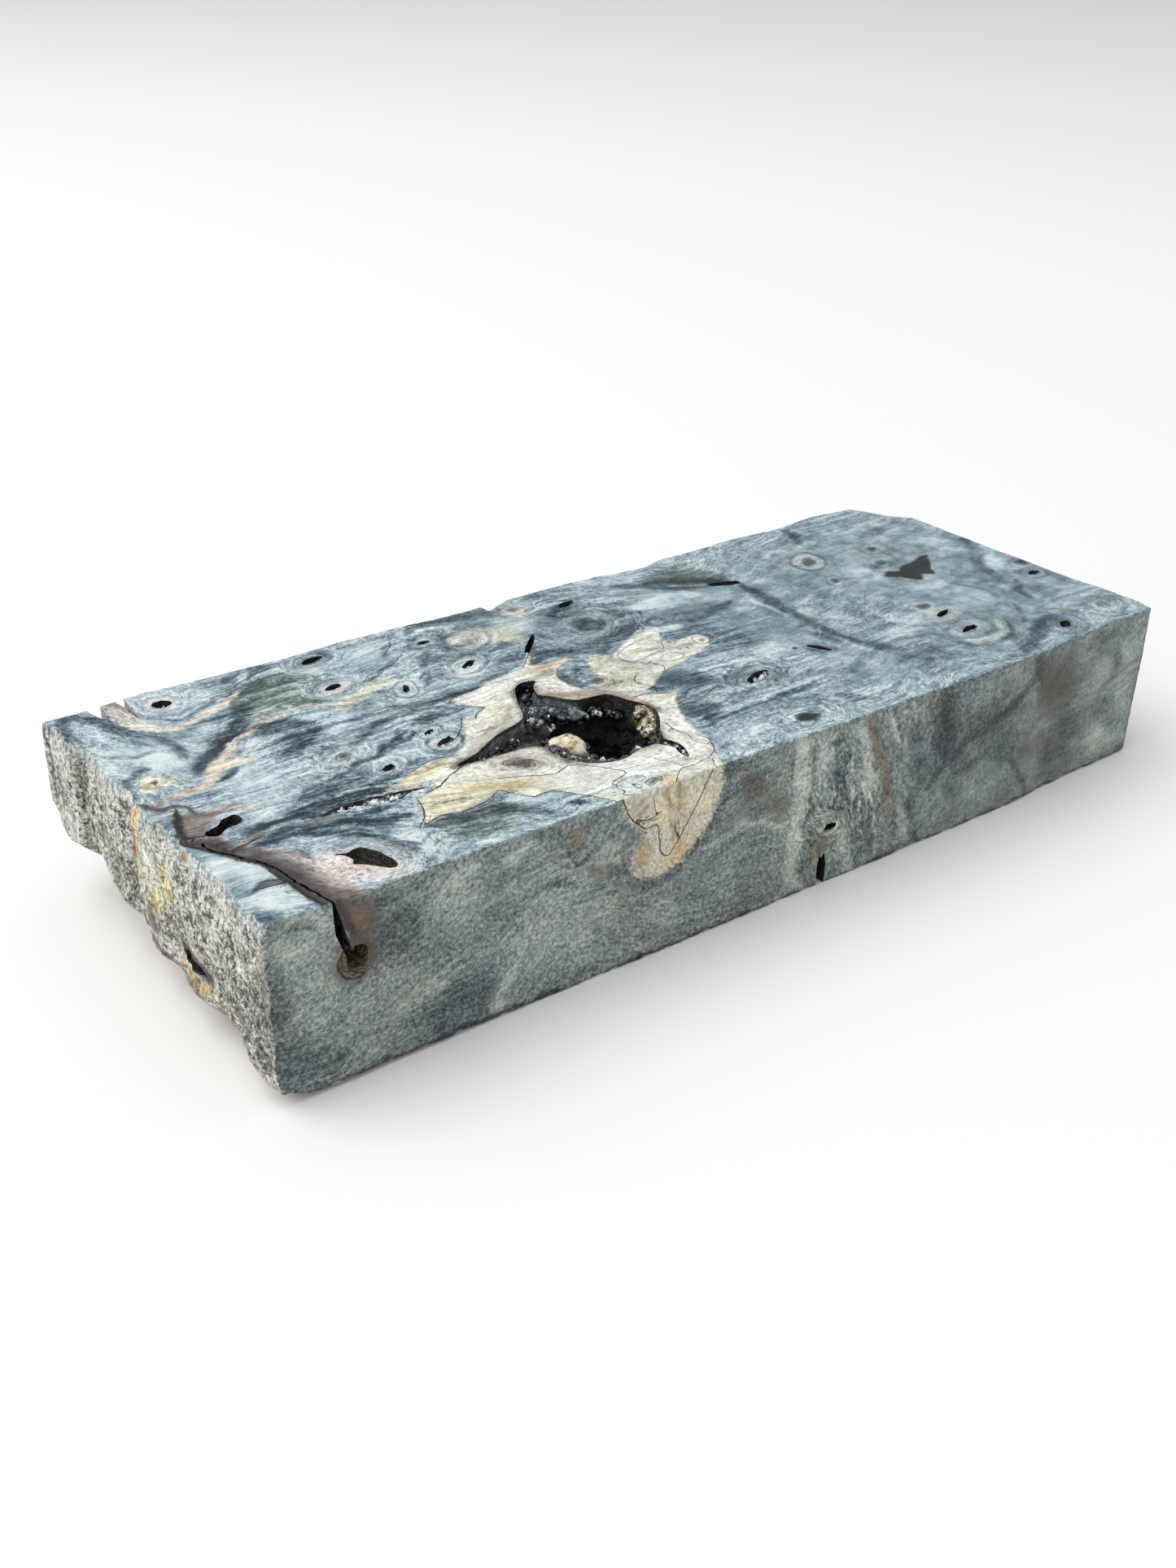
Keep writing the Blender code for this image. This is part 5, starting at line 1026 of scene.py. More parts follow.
endPaint = {
    "tone": 0.62,
    "tones": (
        (0.64, 8.0, ((-18, 20), (-12, 20))), (0.62, 6.0, ((-16, 16), (-9, 17))),
        (0.6, 3.0, ((-23, 21.6), (-18, 21.6))), (0.5, 6.0, ((-21, 11), (-14, 12))),
        (0.44, 5.0, ((-25, 18.6), (-24, 13), (-24.6, 7))), (0.62, 4.0, ((1, 18), (1.6, 13))),
        (0.44, 5.0, ((-8, 12), (-3, 9))), (0.4, 7.0, ((10.4, 14), (9, 10.4), (7.8, 8.6))),
        (0.3, 2.4, ((6.6, 11.6), (5.2, 10.4), (6.4, 9))), (0.58, 4.0, ((10, 18.6), (12.6, 20.6))),
        (0.46, 3.0, ((17.4, 19), (17, 13), (16, 10.6))),
        (0.26, 1.0, ((16.8, 22), (16.4, 20), (16.8, 17.6))), (0.62, 4.6, ((22.4, 21.4), (21, 18))),
        (0.64, 3.6, ((21.9, 13), (20.2, 10.4))), (0.44, 3.4, ((23.4, 17), (22, 14))),
        (0.24, 1.2, ((25, 21.6), (25.3, 17), (25.6, 13))), (0.3, 1.6, ((26.6, 22), (27.4, 20))),
        (0.36, 4.0, ((-20.6, 8), (-23.5, 5))), (0.38, 3.0, ((-26, 14), (-25.4, 8), (-26, 5))),
        (0.4, 5.0, ((-16.4, 12), (-18.7, 9))), (0.3, 1.0, ((-22, 13), (-22.6, 9), (-23, 6))),
        (0.3, 0.9, ((-19.4, 17), (-20, 13), (-20, 9))), (0.34, 0.8, ((-12, 19), (-12.6, 15))),
        (0.3, 1.2, ((-7.4, 14.6), (-8.6, 12.6))), (0.3, 1.0, ((13.6, 20), (13.2, 16), (13.6, 12))),
        (0.34, 1.0, ((0.6, 11.6), (2.6, 10.4))),
    ),
    "patches": (),
    "green": 0.0,
    "greens": (),
    "contrast": 1.5,
    "contrasts": ((0.6, 4.0, ((22, 13), (20.4, 10.6))), (1.1, 6.0, ((-25, 20), (-20, 21.6)))),
    "stains": (
        ((214, 188, 132, 0.95), 2.6, ((2, 21.6), (3.2, 19.8), (2.8, 17))),
        ((182, 112, 62, 1.0), 1.7, ((3.6, 19.8), (4, 18), (4.7, 16.4), (5.2, 14.6))),
        ((60, 34, 18, 1.0), 1.1, ((3.3, 19.4), (3.5, 17.6))),
        ((204, 192, 138, 0.75), 1.6, ((2.1, 16.4), (2.2, 13.2))),
        ((212, 202, 158, 1.0), 3.8, ((-4.3, 17.9), (-4.6, 15.4), (-4, 13.4))),
        ((204, 194, 150, 1.0), 3.0, ((-1.6, 13.2), (-1.1, 10.8))),
        ((226, 224, 208, 0.8), 2.4, ((-1, 18), (-0.2, 15.2))),
        ((126, 114, 104, 0.8), 2.6, ((-0.8, 10.2), (-0.6, 8.6))),
        ((134, 122, 118, 0.8), 1.6, ((3.4, 8.2), (1.6, 7), (-2.1, 6), (-4, 5.4))),
        ((192, 166, 118, 0.85), 1.8, ((-6.7, 6.8), (-8.6, 6.8), (-10.9, 6.7), (-13.6, 7))),
        ((224, 202, 156, 0.85), 0.7, ((-12, 7.8), (-14, 7.7), (-15.8, 7.2))),
        ((138, 114, 82, 0.8), 1.8, ((-7.6, 5.2), (-12, 5.4))),
        ((66, 52, 46, 0.85), 2.4, ((-7.4, 9.4), (-12.6, 9.4), (-14.6, 8.8))),
        ((178, 128, 84, 0.7), 1.0, ((-10, 22), (-9.4, 21))),
        ((150, 146, 140, 0.6), 2.4, ((-27, 21), (-27, 12), (-26.6, 5))),
    ),
    "cream": (),
    "creamTint": (214, 200, 150),
    "creamTints": (),
    "lines": (),
    "eyes": (),
    "flow": ((-24, 12, 92, 6), (-12, 14, 88, 6), (0, 14, 84, 6), (10, 14, 92, 6), (22, 14, 88, 5)),
}


# How the painted lines wander, each wave with its size, reach and seed, and how the grain bends round knots
figure = {
    "broadWave": (3.2, 0.55, 2.0), "smallWave": (1.1, 0.22, 7.0), "crispWave": (1.3, 0.16, 4.0),
    "outOfReach": 9.0,                      # stands for a gap too wide to matter
    "anchorReach": 14,                      # anchors nearer than this are levelled with each other
    "knotReach": 1.9, "knotEase": 0.9,      # in shares of a knot's ring
    "knotClose": 1.1,                       # how close the grain lies round a knot
}


def paintColour(chart):
    share = np.array(chart, float) / 255
    return np.where(share <= 0.04045, share / 12.92, ((share + 0.055) / 1.055) ** 2.4)


# Gap from each place to a path, its side of the path (1 left, -1 right) and how far along it lies, 0 to 1
def alongPath(places, path):
    path = np.array(path, float)
    gap = np.full(len(places), np.inf)
    side = np.ones(len(places))
    share = np.full(len(places), 0.5)
    if len(path) == 1:
        return np.hypot(*(places - path[0]).T), side, share
    lengths = np.hypot(*np.diff(path, axis=0).T)
    walked = 0.0
    for start, end, length in zip(path, path[1:], lengths):
        step = end - start
        away = places - start
        along = np.clip(away @ step / length ** 2, 0, 1)
        reach = np.hypot(*(away - along[:, None] * step).T)
        closer = reach < gap
        gap[closer] = reach[closer]
        side[closer] = np.where(step[0] * away[closer, 1] > step[1] * away[closer, 0], 1.0, -1.0)
        share[closer] = (walked + along[closer] * length) / lengths.sum()
        walked += length
    return gap, side, share


def bentPath(path, parts=3):
    return smoothPath(path, parts, closed=False) if len(path) > 2 else path


# How strongly a tapering stroke covers each place, 0 to 1
def strokeMask(places, width, path):
    gap, _, share = alongPath(places, bentPath(path))
    half = width / 2 * (1 - 0.5 * (2 * share - 1) ** 2)
    soft = max(0.3 * width, 0.3)
    return easeStep((half + soft - gap) / (2 * soft))


# Signed gap to a closed outline, less than nothing inside it
def outlineGap(places, outline):
    outline = np.array(outline, float)
    closed = np.vstack((outline, outline[:1]))
    gap = alongPath(places, closed)[0]
    inside = np.zeros(len(places), bool)
    for (fromX, fromY), (toX, toY) in zip(closed, closed[1:]):
        crosses = (fromY > places[:, 1]) != (toY > places[:, 1])
        if crosses.any():
            at = fromX + (places[:, 1] - fromY) * (toX - fromX) / (toY - fromY + 1e-9)
            inside ^= crosses & (places[:, 0] < at)
    return np.where(inside, -gap, gap)


def wander(places, size, reach, shift):
    spots = np.column_stack((places, np.full(len(places), shift)))
    return reach * np.stack((grainNoise(spots, size), grainNoise(spots, size, 17.3)), 1)


def layTones(places, start, rows):
    layer = np.full(len(places), float(start))
    for value, width, path in rows:
        layer += (value - layer) * strokeMask(places, width, path)
    return layer


def layColours(places, start, rows):
    layer = np.tile(paintColour(start), (len(places), 1))
    amount = np.zeros(len(places))
    for (*chart, strength), width, path in rows:
        mask = strength * strokeMask(places, width, path)
        total = amount + mask * (1 - amount)
        keep = np.where(total > 0, amount * (1 - mask) / np.maximum(total, 1e-6), 0.0)[:, None]
        layer = layer * keep + paintColour(chart) * (1 - keep)
        amount = total
    return layer, amount


# Distance from the nearest knot in shares of its ring, and which knot that is
def nearestEye(places, eyes):
    nearest = np.full(len(places), figure["outOfReach"])
    which = np.zeros(len(places), int)
    for index, (x, y, radius, stretch, turn, *_) in enumerate(eyes):
        turn = math.radians(turn)
        away = places - (x, y)
        along = away @ (math.cos(turn), math.sin(turn)) / (radius * math.sqrt(stretch))
        across = away @ (-math.sin(turn), math.cos(turn)) / (radius / math.sqrt(stretch))
        gap = np.hypot(along, across)
        closer = gap < nearest
        nearest[closer], which[closer] = gap[closer], index
    return nearest, which


# A height whose level lines run with the grain: each anchor is a small slope, levelled with its neighbours
def grainLevels(places, anchors, eyes):
    x, y, turns, reach = np.array(anchors, float).T
    spots = np.stack((x, y), 1)
    turns = np.radians(turns)
    slopes = np.stack((-np.sin(turns), np.cos(turns)), 1)
    rows, sums, weights = [], [], []
    for first in range(len(spots)):
        for second in range(first + 1, len(spots)):
            step = spots[second] - spots[first]
            gap = math.hypot(*step)
            if gap < figure["anchorReach"]:
                row = np.zeros(len(spots))
                row[first], row[second] = 1, -1
                rows.append(row)
                sums.append(-(slopes[first] + slopes[second]) @ step / 2)
                weights.append(1 / gap)
    rows.append(np.eye(1, len(spots))[0])
    sums.append(0.0)
    weights.append(1.0)
    weights = np.array(weights)
    levels = np.linalg.lstsq(np.array(rows) * weights[:, None], np.array(sums) * weights, rcond=None)[0]

    away = places[:, None, :] - spots[None, :, :]
    closeness = -(away ** 2).sum(axis=2) / (2 * reach ** 2)
    share = np.exp(closeness - closeness.max(axis=1, keepdims=True))
    slope = levels + (away * slopes).sum(axis=2)
    height = (share * slope).sum(axis=1) / share.sum(axis=1)

    ringGap, which = nearestEye(places, eyes)
    for index, (centreX, centreY, radius, *_) in enumerate(eyes):
        near = (which == index) & (ringGap < figure["knotReach"])
        if near.any():
            centre = height[np.argmin(np.hypot(*(places - (centreX, centreY)).T))]
            rings = centre + radius * ringGap[near] * figure["knotClose"]
            share = easeStep((figure["knotReach"] - ringGap[near]) / figure["knotEase"])
            height[near] += (rings - height[near]) * share
    return height


# Everything painted on one side of the block, worked out at its places
def paintSide(places, paint):
    warped = places + wander(places, *figure["broadWave"]) + wander(places, *figure["smallWave"])
    fine = places + wander(places, *figure["crispWave"])
    look = {"grain": grainLevels(warped, paint["flow"], paint["eyes"])}
    for name in ("tone", "green", "contrast"):
        look[name] = layTones(warped, paint[name], paint[name + "s"])
    colour, amount = layColours(warped, (128, 128, 128), paint["stains"])
    for (*chart, strength), outline in paint["patches"]:
        inside = easeStep(0.5 - outlineGap(warped, smoothPath(outline, 2)) / 0.8)
        colour += (paintColour(chart) - colour) * inside[:, None]
        amount = np.maximum(amount, inside * strength)
    look["stain"] = np.column_stack((colour, amount))

    none = np.full(len(places), figure["outOfReach"])
    look["creamGap"] = np.min([none] + [outlineGap(fine, outline) for outline in paint["cream"]], axis=0)
    tint, amount = layColours(warped, paint["creamTint"], paint["creamTints"])
    plain = paintColour(paint["creamTint"])
    look["creamTint"] = np.column_stack((plain + (tint - plain) * amount[:, None], amount))

    lineGap, lineNear = none.copy(), none.copy()
    for width, path in paint["lines"]:
        gap, side, _ = alongPath(fine, bentPath(path, 2))
        scaled = gap / width
        closer = scaled < lineNear
        lineNear[closer] = scaled[closer]
        lineGap[closer] = (scaled * side)[closer]
    look["lineGap"], look["lineNear"] = np.clip(lineGap, -none, none), lineNear

    look["eyeGap"], which = nearestEye(fine, paint["eyes"])
    looks = np.array([eye[5:] for eye in paint["eyes"]] or [(0, 0, 0, 0)], float)
    look["eyeLook"] = looks[which]
    return look


# Where a place on a side out of sight finds its paint on the top, so that the figure runs on through:
# the edge that it starts from, and how far it moves in and along with each millimetre of depth. The bottom
# repeats the top's figure a little smaller
fold = {
    "backEdge": 26.6, "backIn": 0.55, "backAlong": 0.35,
    "rightEdge": 69.6, "rightIn": 0.75, "rightAlong": 0.3,
    "underScale": (0.94, 0.9), "underShift": (3.0, -1.0),
}


def foldBack(x, z):
    drop = slab["height"] - z
    return x + fold["backAlong"] * drop, fold["backEdge"] - fold["backIn"] * drop


def foldRight(y, z):
    drop = slab["height"] - z
    return fold["rightEdge"] - fold["rightIn"] * drop, y + fold["rightAlong"] * drop


def foldUnder(x, y):
    (scaleX, scaleY), (shiftX, shiftY) = fold["underScale"], fold["underShift"]
    return scaleX * x + shiftX, scaleY * y + shiftY


# Sides of the block: outward axis and sign, the two axes painted over, the paint, how warm it is and how much
# it shows end grain, and how close its grain lies
sides = (
    {"name": "top", "axis": 2, "sign": 1, "over": (0, 1),
     "paint": topPaint, "tint": (0, 0), "close": 1.0},
    {"name": "front", "axis": 1, "sign": -1, "over": (0, 2),
     "paint": frontPaint, "tint": (1, 0), "close": 1.5},
    {"name": "left", "axis": 0, "sign": -1, "over": (1, 2),
     "paint": endPaint, "tint": (0.45, 1), "close": 0.9, "fade": 2.6},
    {"name": "back", "axis": 1, "sign": 1, "over": (0, 2),
     "paint": topPaint, "tint": (0.75, 0), "close": 1.2, "fold": foldBack},
    {"name": "right", "axis": 0, "sign": 1, "over": (1, 2),
     "paint": topPaint, "tint": (0.8, 0.35), "close": 1.2, "fold": foldRight},
    {"name": "bottom", "axis": 2, "sign": -1, "over": (0, 1),
     "paint": topPaint, "tint": (0.6, 0), "close": 1.2, "fold": foldUnder},
)
barkEdge = {"fromX": -49.0, "lean": -0.32, "above": 0.2}


def writeAttribute(mesh, name, kind, values):
    attribute = mesh.attributes.new(name, kind, "CORNER")
    field = "color" if kind == "FLOAT_COLOR" else "value"
    attribute.data.foreach_set(field, values.astype(np.float32).ravel())


# Works out each side's paint and stores it on the block's corners
def paintBlock(block):
    mesh = block.data
    points = readPoints(block)
    faceCount, cornerCount = len(mesh.polygons), len(mesh.loops)
    normals, centres = np.empty(faceCount * 3), np.empty(faceCount * 3)
    mesh.polygons.foreach_get("normal", normals)
    mesh.polygons.foreach_get("center", centres)
    normals, centres = normals.reshape(-1, 3), centres.reshape(-1, 3) / mm
    totals = np.empty(faceCount, int)
    mesh.polygons.foreach_get("loop_total", totals)
    cornerPoint = np.empty(cornerCount, int)
    mesh.loops.foreach_get("vertex_index", cornerPoint)
    facing = np.abs(normals)
    facing[(centres[:, 0] < tornEnd["from"]) & (facing[:, 2] < 0.8), 0] *= 3
    axis = facing.argmax(axis=1)
    sign = np.sign(normals[np.arange(faceCount), axis])
    bark = (centres[:, 0] < barkEdge["fromX"]) & (centres[:, 2] > barkEdge["above"])
    bark &= normals[:, 2] < barkEdge["lean"]

    floatNames = ("grain", "tone", "green", "contrast", "creamGap", "lineGap", "lineNear", "eyeGap", "warm",
                  "endGrain", "bark")
    floats = {name: np.zeros(cornerCount) for name in floatNames}
    colours = {name: np.zeros((cornerCount, 4)) for name in ("stain", "creamTint", "eyeLook")}
    for side in sides:
        corners = np.repeat((axis == side["axis"]) & (sign == side["sign"]), totals)
        used, back = np.unique(cornerPoint[corners], return_inverse=True)
        places = points[used][:, side["over"]]
        if "fold" in side:
            places = np.stack(side["fold"](*places.T), 1)
        look = paintSide(places, side["paint"])
        look["warm"], look["endGrain"] = (np.full(len(used), float(value)) for value in side["tint"])
        if "fade" in side:
            look["endGrain"] *= 0.3 + 0.7 * easeStep((slab["height"] - places[:, 1]) / side["fade"])
        look["grain"] *= side["close"]
        for name in floats:
            if name in look:
                floats[name][corners] = look[name][back]
        for name in colours:
            colours[name][corners] = look[name][back]
        print("painted the", side["name"], len(used), "places")
    floats["bark"][np.repeat(bark, totals)] = 1.0
    for name, values in floats.items():
        writeAttribute(mesh, name, "FLOAT", values)
    for name, values in colours.items():
        writeAttribute(mesh, name, "FLOAT_COLOR", values)


# A level in a shader, 0 to 1 as a rule: its sums, differences and products are made by Math nodes
class Level:
    def __init__(self, tree, socket):
        self.tree, self.socket = tree, socket

    def calc(self, operation, *values):
        made = self.tree.nodes.new("ShaderNodeMath")
        made.operation = operation
        for socket, value in zip(made.inputs, values):
            feed(self.tree, socket, value)
        return Level(self.tree, made.outputs[0])

    def __add__(self, other):
        return self.calc("ADD", self, other)

    def __sub__(self, other):
        return self.calc("SUBTRACT", self, other)

    def __rsub__(self, other):
        return self.calc("SUBTRACT", other, self)

    def __mul__(self, other):
        return self.calc("MULTIPLY", self, other)

    def __abs__(self):
        return self.calc("ABSOLUTE", self)

    def atLeast(self, other):
        return self.calc("MAXIMUM", self, other)

    # Rises smoothly from 0 at the first level to 1 at the second
    def rise(self, low, high):
        made = self.tree.nodes.new("ShaderNodeMapRange")
        made.interpolation_type = "SMOOTHSTEP"
        for socket, number in zip(made.inputs, (self, low, high, 0.0, 1.0)):
            feed(self.tree, socket, number)
        return Level(self.tree, made.outputs[0])

    def fall(self, low, high):
        return 1.0 - self.rise(low, high)


def feed(tree, socket, value):
    value = value.socket if isinstance(value, Level) else value
    if isinstance(value, bpy.types.NodeSocket):
        tree.links.new(value, socket)
    else:
        socket.default_value = value


def blend(tree, share, before, after, kind="MIX"):
    made = tree.nodes.new("ShaderNodeMix")
    made.data_type, made.blend_type = "RGBA", kind
    for name, value in (("Factor_Float", share), ("A_Color", before), ("B_Color", after)):
        socket = next(each for each in made.inputs if each.identifier == name)
        feed(tree, socket, value)
    return next(each for each in made.outputs if each.identifier == "Result_Color")


def noiseAt(tree, places, scale, detail, roughness, warp=0.0):
    made = tree.nodes.new("ShaderNodeTexNoise")
    feed(tree, made.inputs["Vector"], places)
    for name, value in zip(("Scale", "Detail", "Roughness", "Distortion"), (scale, detail, roughness, warp)):
        made.inputs[name].default_value = value
    return Level(tree, made.outputs["Fac"])


# Noise drawn out along the grain: its change across the grain and along it, then as for noiseAt
def streaksAt(tree, places, grain, across, along, detail, roughness, warp):
    made = tree.nodes.new("ShaderNodeVectorMath")
    made.operation = "MULTIPLY_ADD"
    tree.links.new(places, made.inputs[0])
    made.inputs[1].default_value = (along, along, along)
    push = tree.nodes.new("ShaderNodeCombineXYZ")
    feed(tree, push.inputs[0], grain * across)
    tree.links.new(push.outputs[0], made.inputs[2])
    return noiseAt(tree, made.outputs[0], 1.0, detail, roughness, warp)


def readPaint(tree, name):
    made = tree.nodes.new("ShaderNodeAttribute")
    made.attribute_name = name
    return made.outputs


def readFloat(tree, name):
    return Level(tree, readPaint(tree, name)["Fac"])


def toneRamp(tree, value, stops):
    made = tree.nodes.new("ShaderNodeValToRGB")
    feed(tree, made.inputs[0], value)
    ramp = made.color_ramp
    while len(ramp.elements) < len(stops):
        ramp.elements.new(0.5)
    for element, (place, chart) in zip(ramp.elements, stops):
        element.position = place
        element.color = (*paintColour(chart), 1.0)
    return made.outputs["Color"]


def flat(chart):
    return (*paintColour(chart), 1.0)


def startShader(material):
    tree = material.node_tree
    shader = tree.nodes["Principled BSDF"]
    coordinates = tree.nodes.new("ShaderNodeTexCoord")
    scaled = tree.nodes.new("ShaderNodeVectorMath")
    scaled.operation = "SCALE"
    tree.links.new(coordinates.outputs["Object"], scaled.inputs[0])
    scaled.inputs["Scale"].default_value = 1 / mm
    return tree, shader, scaled.outputs[0]


def addBump(tree, shader, height, strength, distance):
    bump = tree.nodes.new("ShaderNodeBump")
    bump.inputs["Strength"].default_value = strength
    bump.inputs["Distance"].default_value = distance * mm
    feed(tree, bump.inputs["Height"], height)
    tree.links.new(bump.outputs[0], shader.inputs["Normal"])


wood = {
    # tones from dark to light, as (level, colour)
    "topTones": (
        (0.0, (16, 26, 34)), (0.25, (56, 77, 90)), (0.5, (118, 141, 153)), (0.75, (178, 198, 206)),
        (1.0, (229, 239, 242)),
    ),
    "greenTones": (
        (0.0, (28, 38, 38)), (0.25, (64, 79, 78)), (0.5, (114, 130, 126)), (0.75, (170, 184, 176)),
        (1.0, (222, 226, 212)),
    ),
    "warmTones": (
        (0.0, (32, 36, 36)), (0.25, (76, 85, 84)), (0.5, (132, 142, 137)), (0.75, (184, 190, 180)),
        (1.0, (226, 224, 210)),
    ),
    "endTones": (
        (0.0, (34, 35, 34)), (0.25, (90, 91, 86)), (0.5, (166, 166, 155)), (0.7, (214, 213, 201)),
        (1.0, (242, 240, 230)),
    ),
    "barkTones": ((0.2, (58, 46, 38)), (0.5, (132, 116, 96)), (0.8, (186, 172, 146))),
    # noise along the grain: change across and along, detail, roughness, warp
    "fine": (2.1, 0.8, 5.0, 0.8, 0.5), "broad": (0.6, 0.22, 5.0, 0.66, 0.5),
    "threads": (1.2, 0.34, 4.0, 0.62, 0.7),
    # noise without a direction: scale, detail, roughness, warp
    "mottled": (0.42, 4.0, 0.65), "grit": (2.1, 4.0, 0.8), "milk": (0.17, 4.0, 0.55, 0.9),
    "drift": (0.13, 3.0, 0.6), "torn": (1.6, 3.0, 0.65), "ringWobble": (0.8, 2.0, 0.55),
    "lineWobble": (2.4, 2.0, 0.55), "dots": (1.0, 4.0, 0.85), "crowd": (0.22, 2.0, 0.5),
    # how strongly fine, grit and broad swing the tone: everywhere, added on the front, added where crisp
    "swings": ((1.25, -0.5, 2.4), (1.15, 0.5, -2.0), (0.85, -0.55, 1.4)),
    "milkyLight": (224, 231, 229),
    "creamTan": (178, 160, 128), "creamPale": (240, 237, 226), "creamFringe": (112, 98, 82),
    "ring": (206, 210, 208), "pinkRing": (214, 200, 190), "ringOutline": (58, 72, 80),
    "core": (20, 27, 31), "pinkCore": (58, 52, 52),
    "line": (24, 20, 18), "pore": (40, 38, 35),
    "gloss": 0.35, "grainDepth": 0.12, "grainStrength": 0.5,
}


# The wood's noise layers, and how they swing its tone up and down
def grainLayers(tree, places):
    grain, contrast, warm = (readFloat(tree, name) for name in ("grain", "contrast", "warm"))
    alongGrain = ("fine", "broad", "threads")
    fine, broad, threads = (streaksAt(tree, places, grain, *wood[name]) for name in alongGrain)
    mottled, grit, milk = (noiseAt(tree, places, *wood[name]) for name in ("mottled", "grit", "milk"))
    crisp = warm * (contrast - 1.0).atLeast(0.0)
    streaks = abs(threads - 0.5).fall(0.004, 0.03) * broad.rise(0.38, 0.56) * (warm * 0.14 - 0.24)
    streaks += threads.rise(0.6, 0.7) * (warm * -0.1 + 0.18)
    for layer, (plain, onWarm, onCrisp) in zip((fine, grit, broad), wood["swings"]):
        streaks += (layer - 0.5) * (crisp * onCrisp + warm * onWarm + plain)
    clouds = (mottled - 0.5) * (warm * -0.2 + 0.62) + (broad - 0.5) * 0.2
    clouds += (milk - 0.5) * ((0.9 - contrast).atLeast(0.0) * 1.1)
    return fine, broad, mottled, grit, streaks * contrast + clouds


# Pale rings with dark outlines round dark or brown cores
def paintKnots(tree, places, colour, fine, swing):
    eyeGap = (noiseAt(tree, places, *wood["ringWobble"]) - 0.5) * 0.45 + readFloat(tree, "eyeGap")
    eyeLook = readPaint(tree, "eyeLook")
    pinkness = eyeLook["Alpha"]
    split = tree.nodes.new("ShaderNodeSeparateColor")
    tree.links.new(eyeLook["Color"], split.inputs[0])
    core, ring, outline = (Level(tree, socket) for socket in split.outputs)
    onRing = eyeGap.rise(0.4, 0.6) * eyeGap.fall(0.8, 1.05) * fine.rise(0.32, 0.62) * ring
    ringTint = blend(tree, pinkness, flat(wood["ring"]), flat(wood["pinkRing"]))
    colour = blend(tree, onRing * 0.85, colour, blend(tree, 1.0, ringTint, swing * 0.9 + 1.0, "MULTIPLY"))
    onOutline = eyeGap.rise(0.92, 1.08) * eyeGap.fall(1.12, 1.3) * outline
    colour = blend(tree, onOutline * 0.7, colour, flat(wood["ringOutline"]))
    onCore = ((fine - 0.5) * 1.2 + eyeGap).fall(0.16, 0.68) * core
    coreTint = blend(tree, pinkness, flat(wood["core"]), flat(wood["pinkCore"]))
    return blend(tree, onCore * 0.92, colour, coreTint)


# Cream sapwood with a thin darker edge, torn most on the front
def paintCream(tree, places, colour, fine, broad, swing):
    torn = (noiseAt(tree, places, *wood["torn"]) - 0.5) * 0.6 + (fine - 0.5) * 1.1
    creamGap = torn * (readFloat(tree, "warm") * 3.4 + 1.0) + readFloat(tree, "creamGap")
    cream = blend(tree, 1.0, readPaint(tree, "creamTint")["Color"], swing * 2.1 + 1.13, "MULTIPLY")
    cream = blend(tree, broad.rise(0.54, 0.62) * 0.28, cream, flat(wood["creamTan"]))
    cream = blend(tree, broad.fall(0.38, 0.5) * 0.45, cream, flat(wood["creamPale"]))
    colour = blend(tree, creamGap.fall(-0.22, 0.16), colour, cream)
    fringe = abs(creamGap + 0.06).fall(0.04, 0.24) * 0.3
    return blend(tree, fringe, colour, flat(wood["creamFringe"]))


def finishBurlWood(material):
    tree, shader, places = startShader(material)
    tone, warm, endGrain = (readFloat(tree, name) for name in ("tone", "warm", "endGrain"))
    fine, broad, mottled, grit, swing = grainLayers(tree, places)
    value = (tone - 0.55) * 1.02 + 0.55 + swing

    colour = toneRamp(tree, value, wood["topTones"])
    green = (readFloat(tree, "green") + (mottled - 0.5)).rise(0.15, 0.95)
    colour = blend(tree, green, colour, toneRamp(tree, value, wood["greenTones"]))
    drift = noiseAt(tree, places, *wood["drift"]).rise(0.4, 0.6)
    colour = blend(tree, value.rise(0.6, 0.9) * drift * 0.45, colour, flat(wood["milkyLight"]))
    colour = blend(tree, warm * (drift * 0.2 + 0.8), colour, toneRamp(tree, value, wood["warmTones"]))
    endTone = tone + (grit - 0.5) * 2.9 + (mottled - 0.5) * 0.8 + (fine - 0.5) * 0.7
    colour = blend(tree, endGrain, colour, toneRamp(tree, endTone, wood["endTones"]))

    # stained patches, sharpened by the grain
    stain = readPaint(tree, "stain")
    stained = ((grit - 0.5) * 0.8 + (fine - 0.5) * 1.2 + Level(tree, stain["Alpha"])).rise(0.1, 0.95)
    colour = blend(tree, stained, colour, blend(tree, 1.0, stain["Color"], swing * 1.9 + 1.0, "MULTIPLY"))
    colour = paintCream(tree, places, colour, fine, broad, swing)
    colour = paintKnots(tree, places, colour, fine, swing)

    # dark spalting lines
    wobble = (noiseAt(tree, places, *wood["lineWobble"]) - 0.5) * 1.1
    line = abs(readFloat(tree, "lineGap") + wobble).fall(0.2, 0.5)
    line = line * readFloat(tree, "lineNear").fall(2.2, 3.2) * 0.92
    colour = blend(tree, line, colour, flat(wood["line"]))

    # open pores: many on the torn end, few and small elsewhere
    crowd = noiseAt(tree, places, *wood["crowd"]).rise(0.34, 0.56)
    pores = noiseAt(tree, places, *wood["dots"]).rise(0.52, 0.57) * (endGrain * crowd * 0.85 + 0.06)
    colour = blend(tree, pores, colour, flat(wood["pore"]))

    # weathered natural edge
    barkColour = toneRamp(tree, grit * 0.6 + mottled * 0.5, wood["barkTones"])
    colour = blend(tree, readFloat(tree, "bark") * 0.8, colour, barkColour)
    tree.links.new(colour, shader.inputs["Base Color"])
    feed(tree, shader.inputs["Roughness"], fine * 0.3 + 0.4)
    shader.inputs["Specular IOR Level"].default_value = wood["gloss"]
    relief = grit * (endGrain * 1.4 + 0.15) + fine * 0.4 - pores * 1.2
    addBump(tree, shader, relief, wood["grainStrength"], wood["grainDepth"])


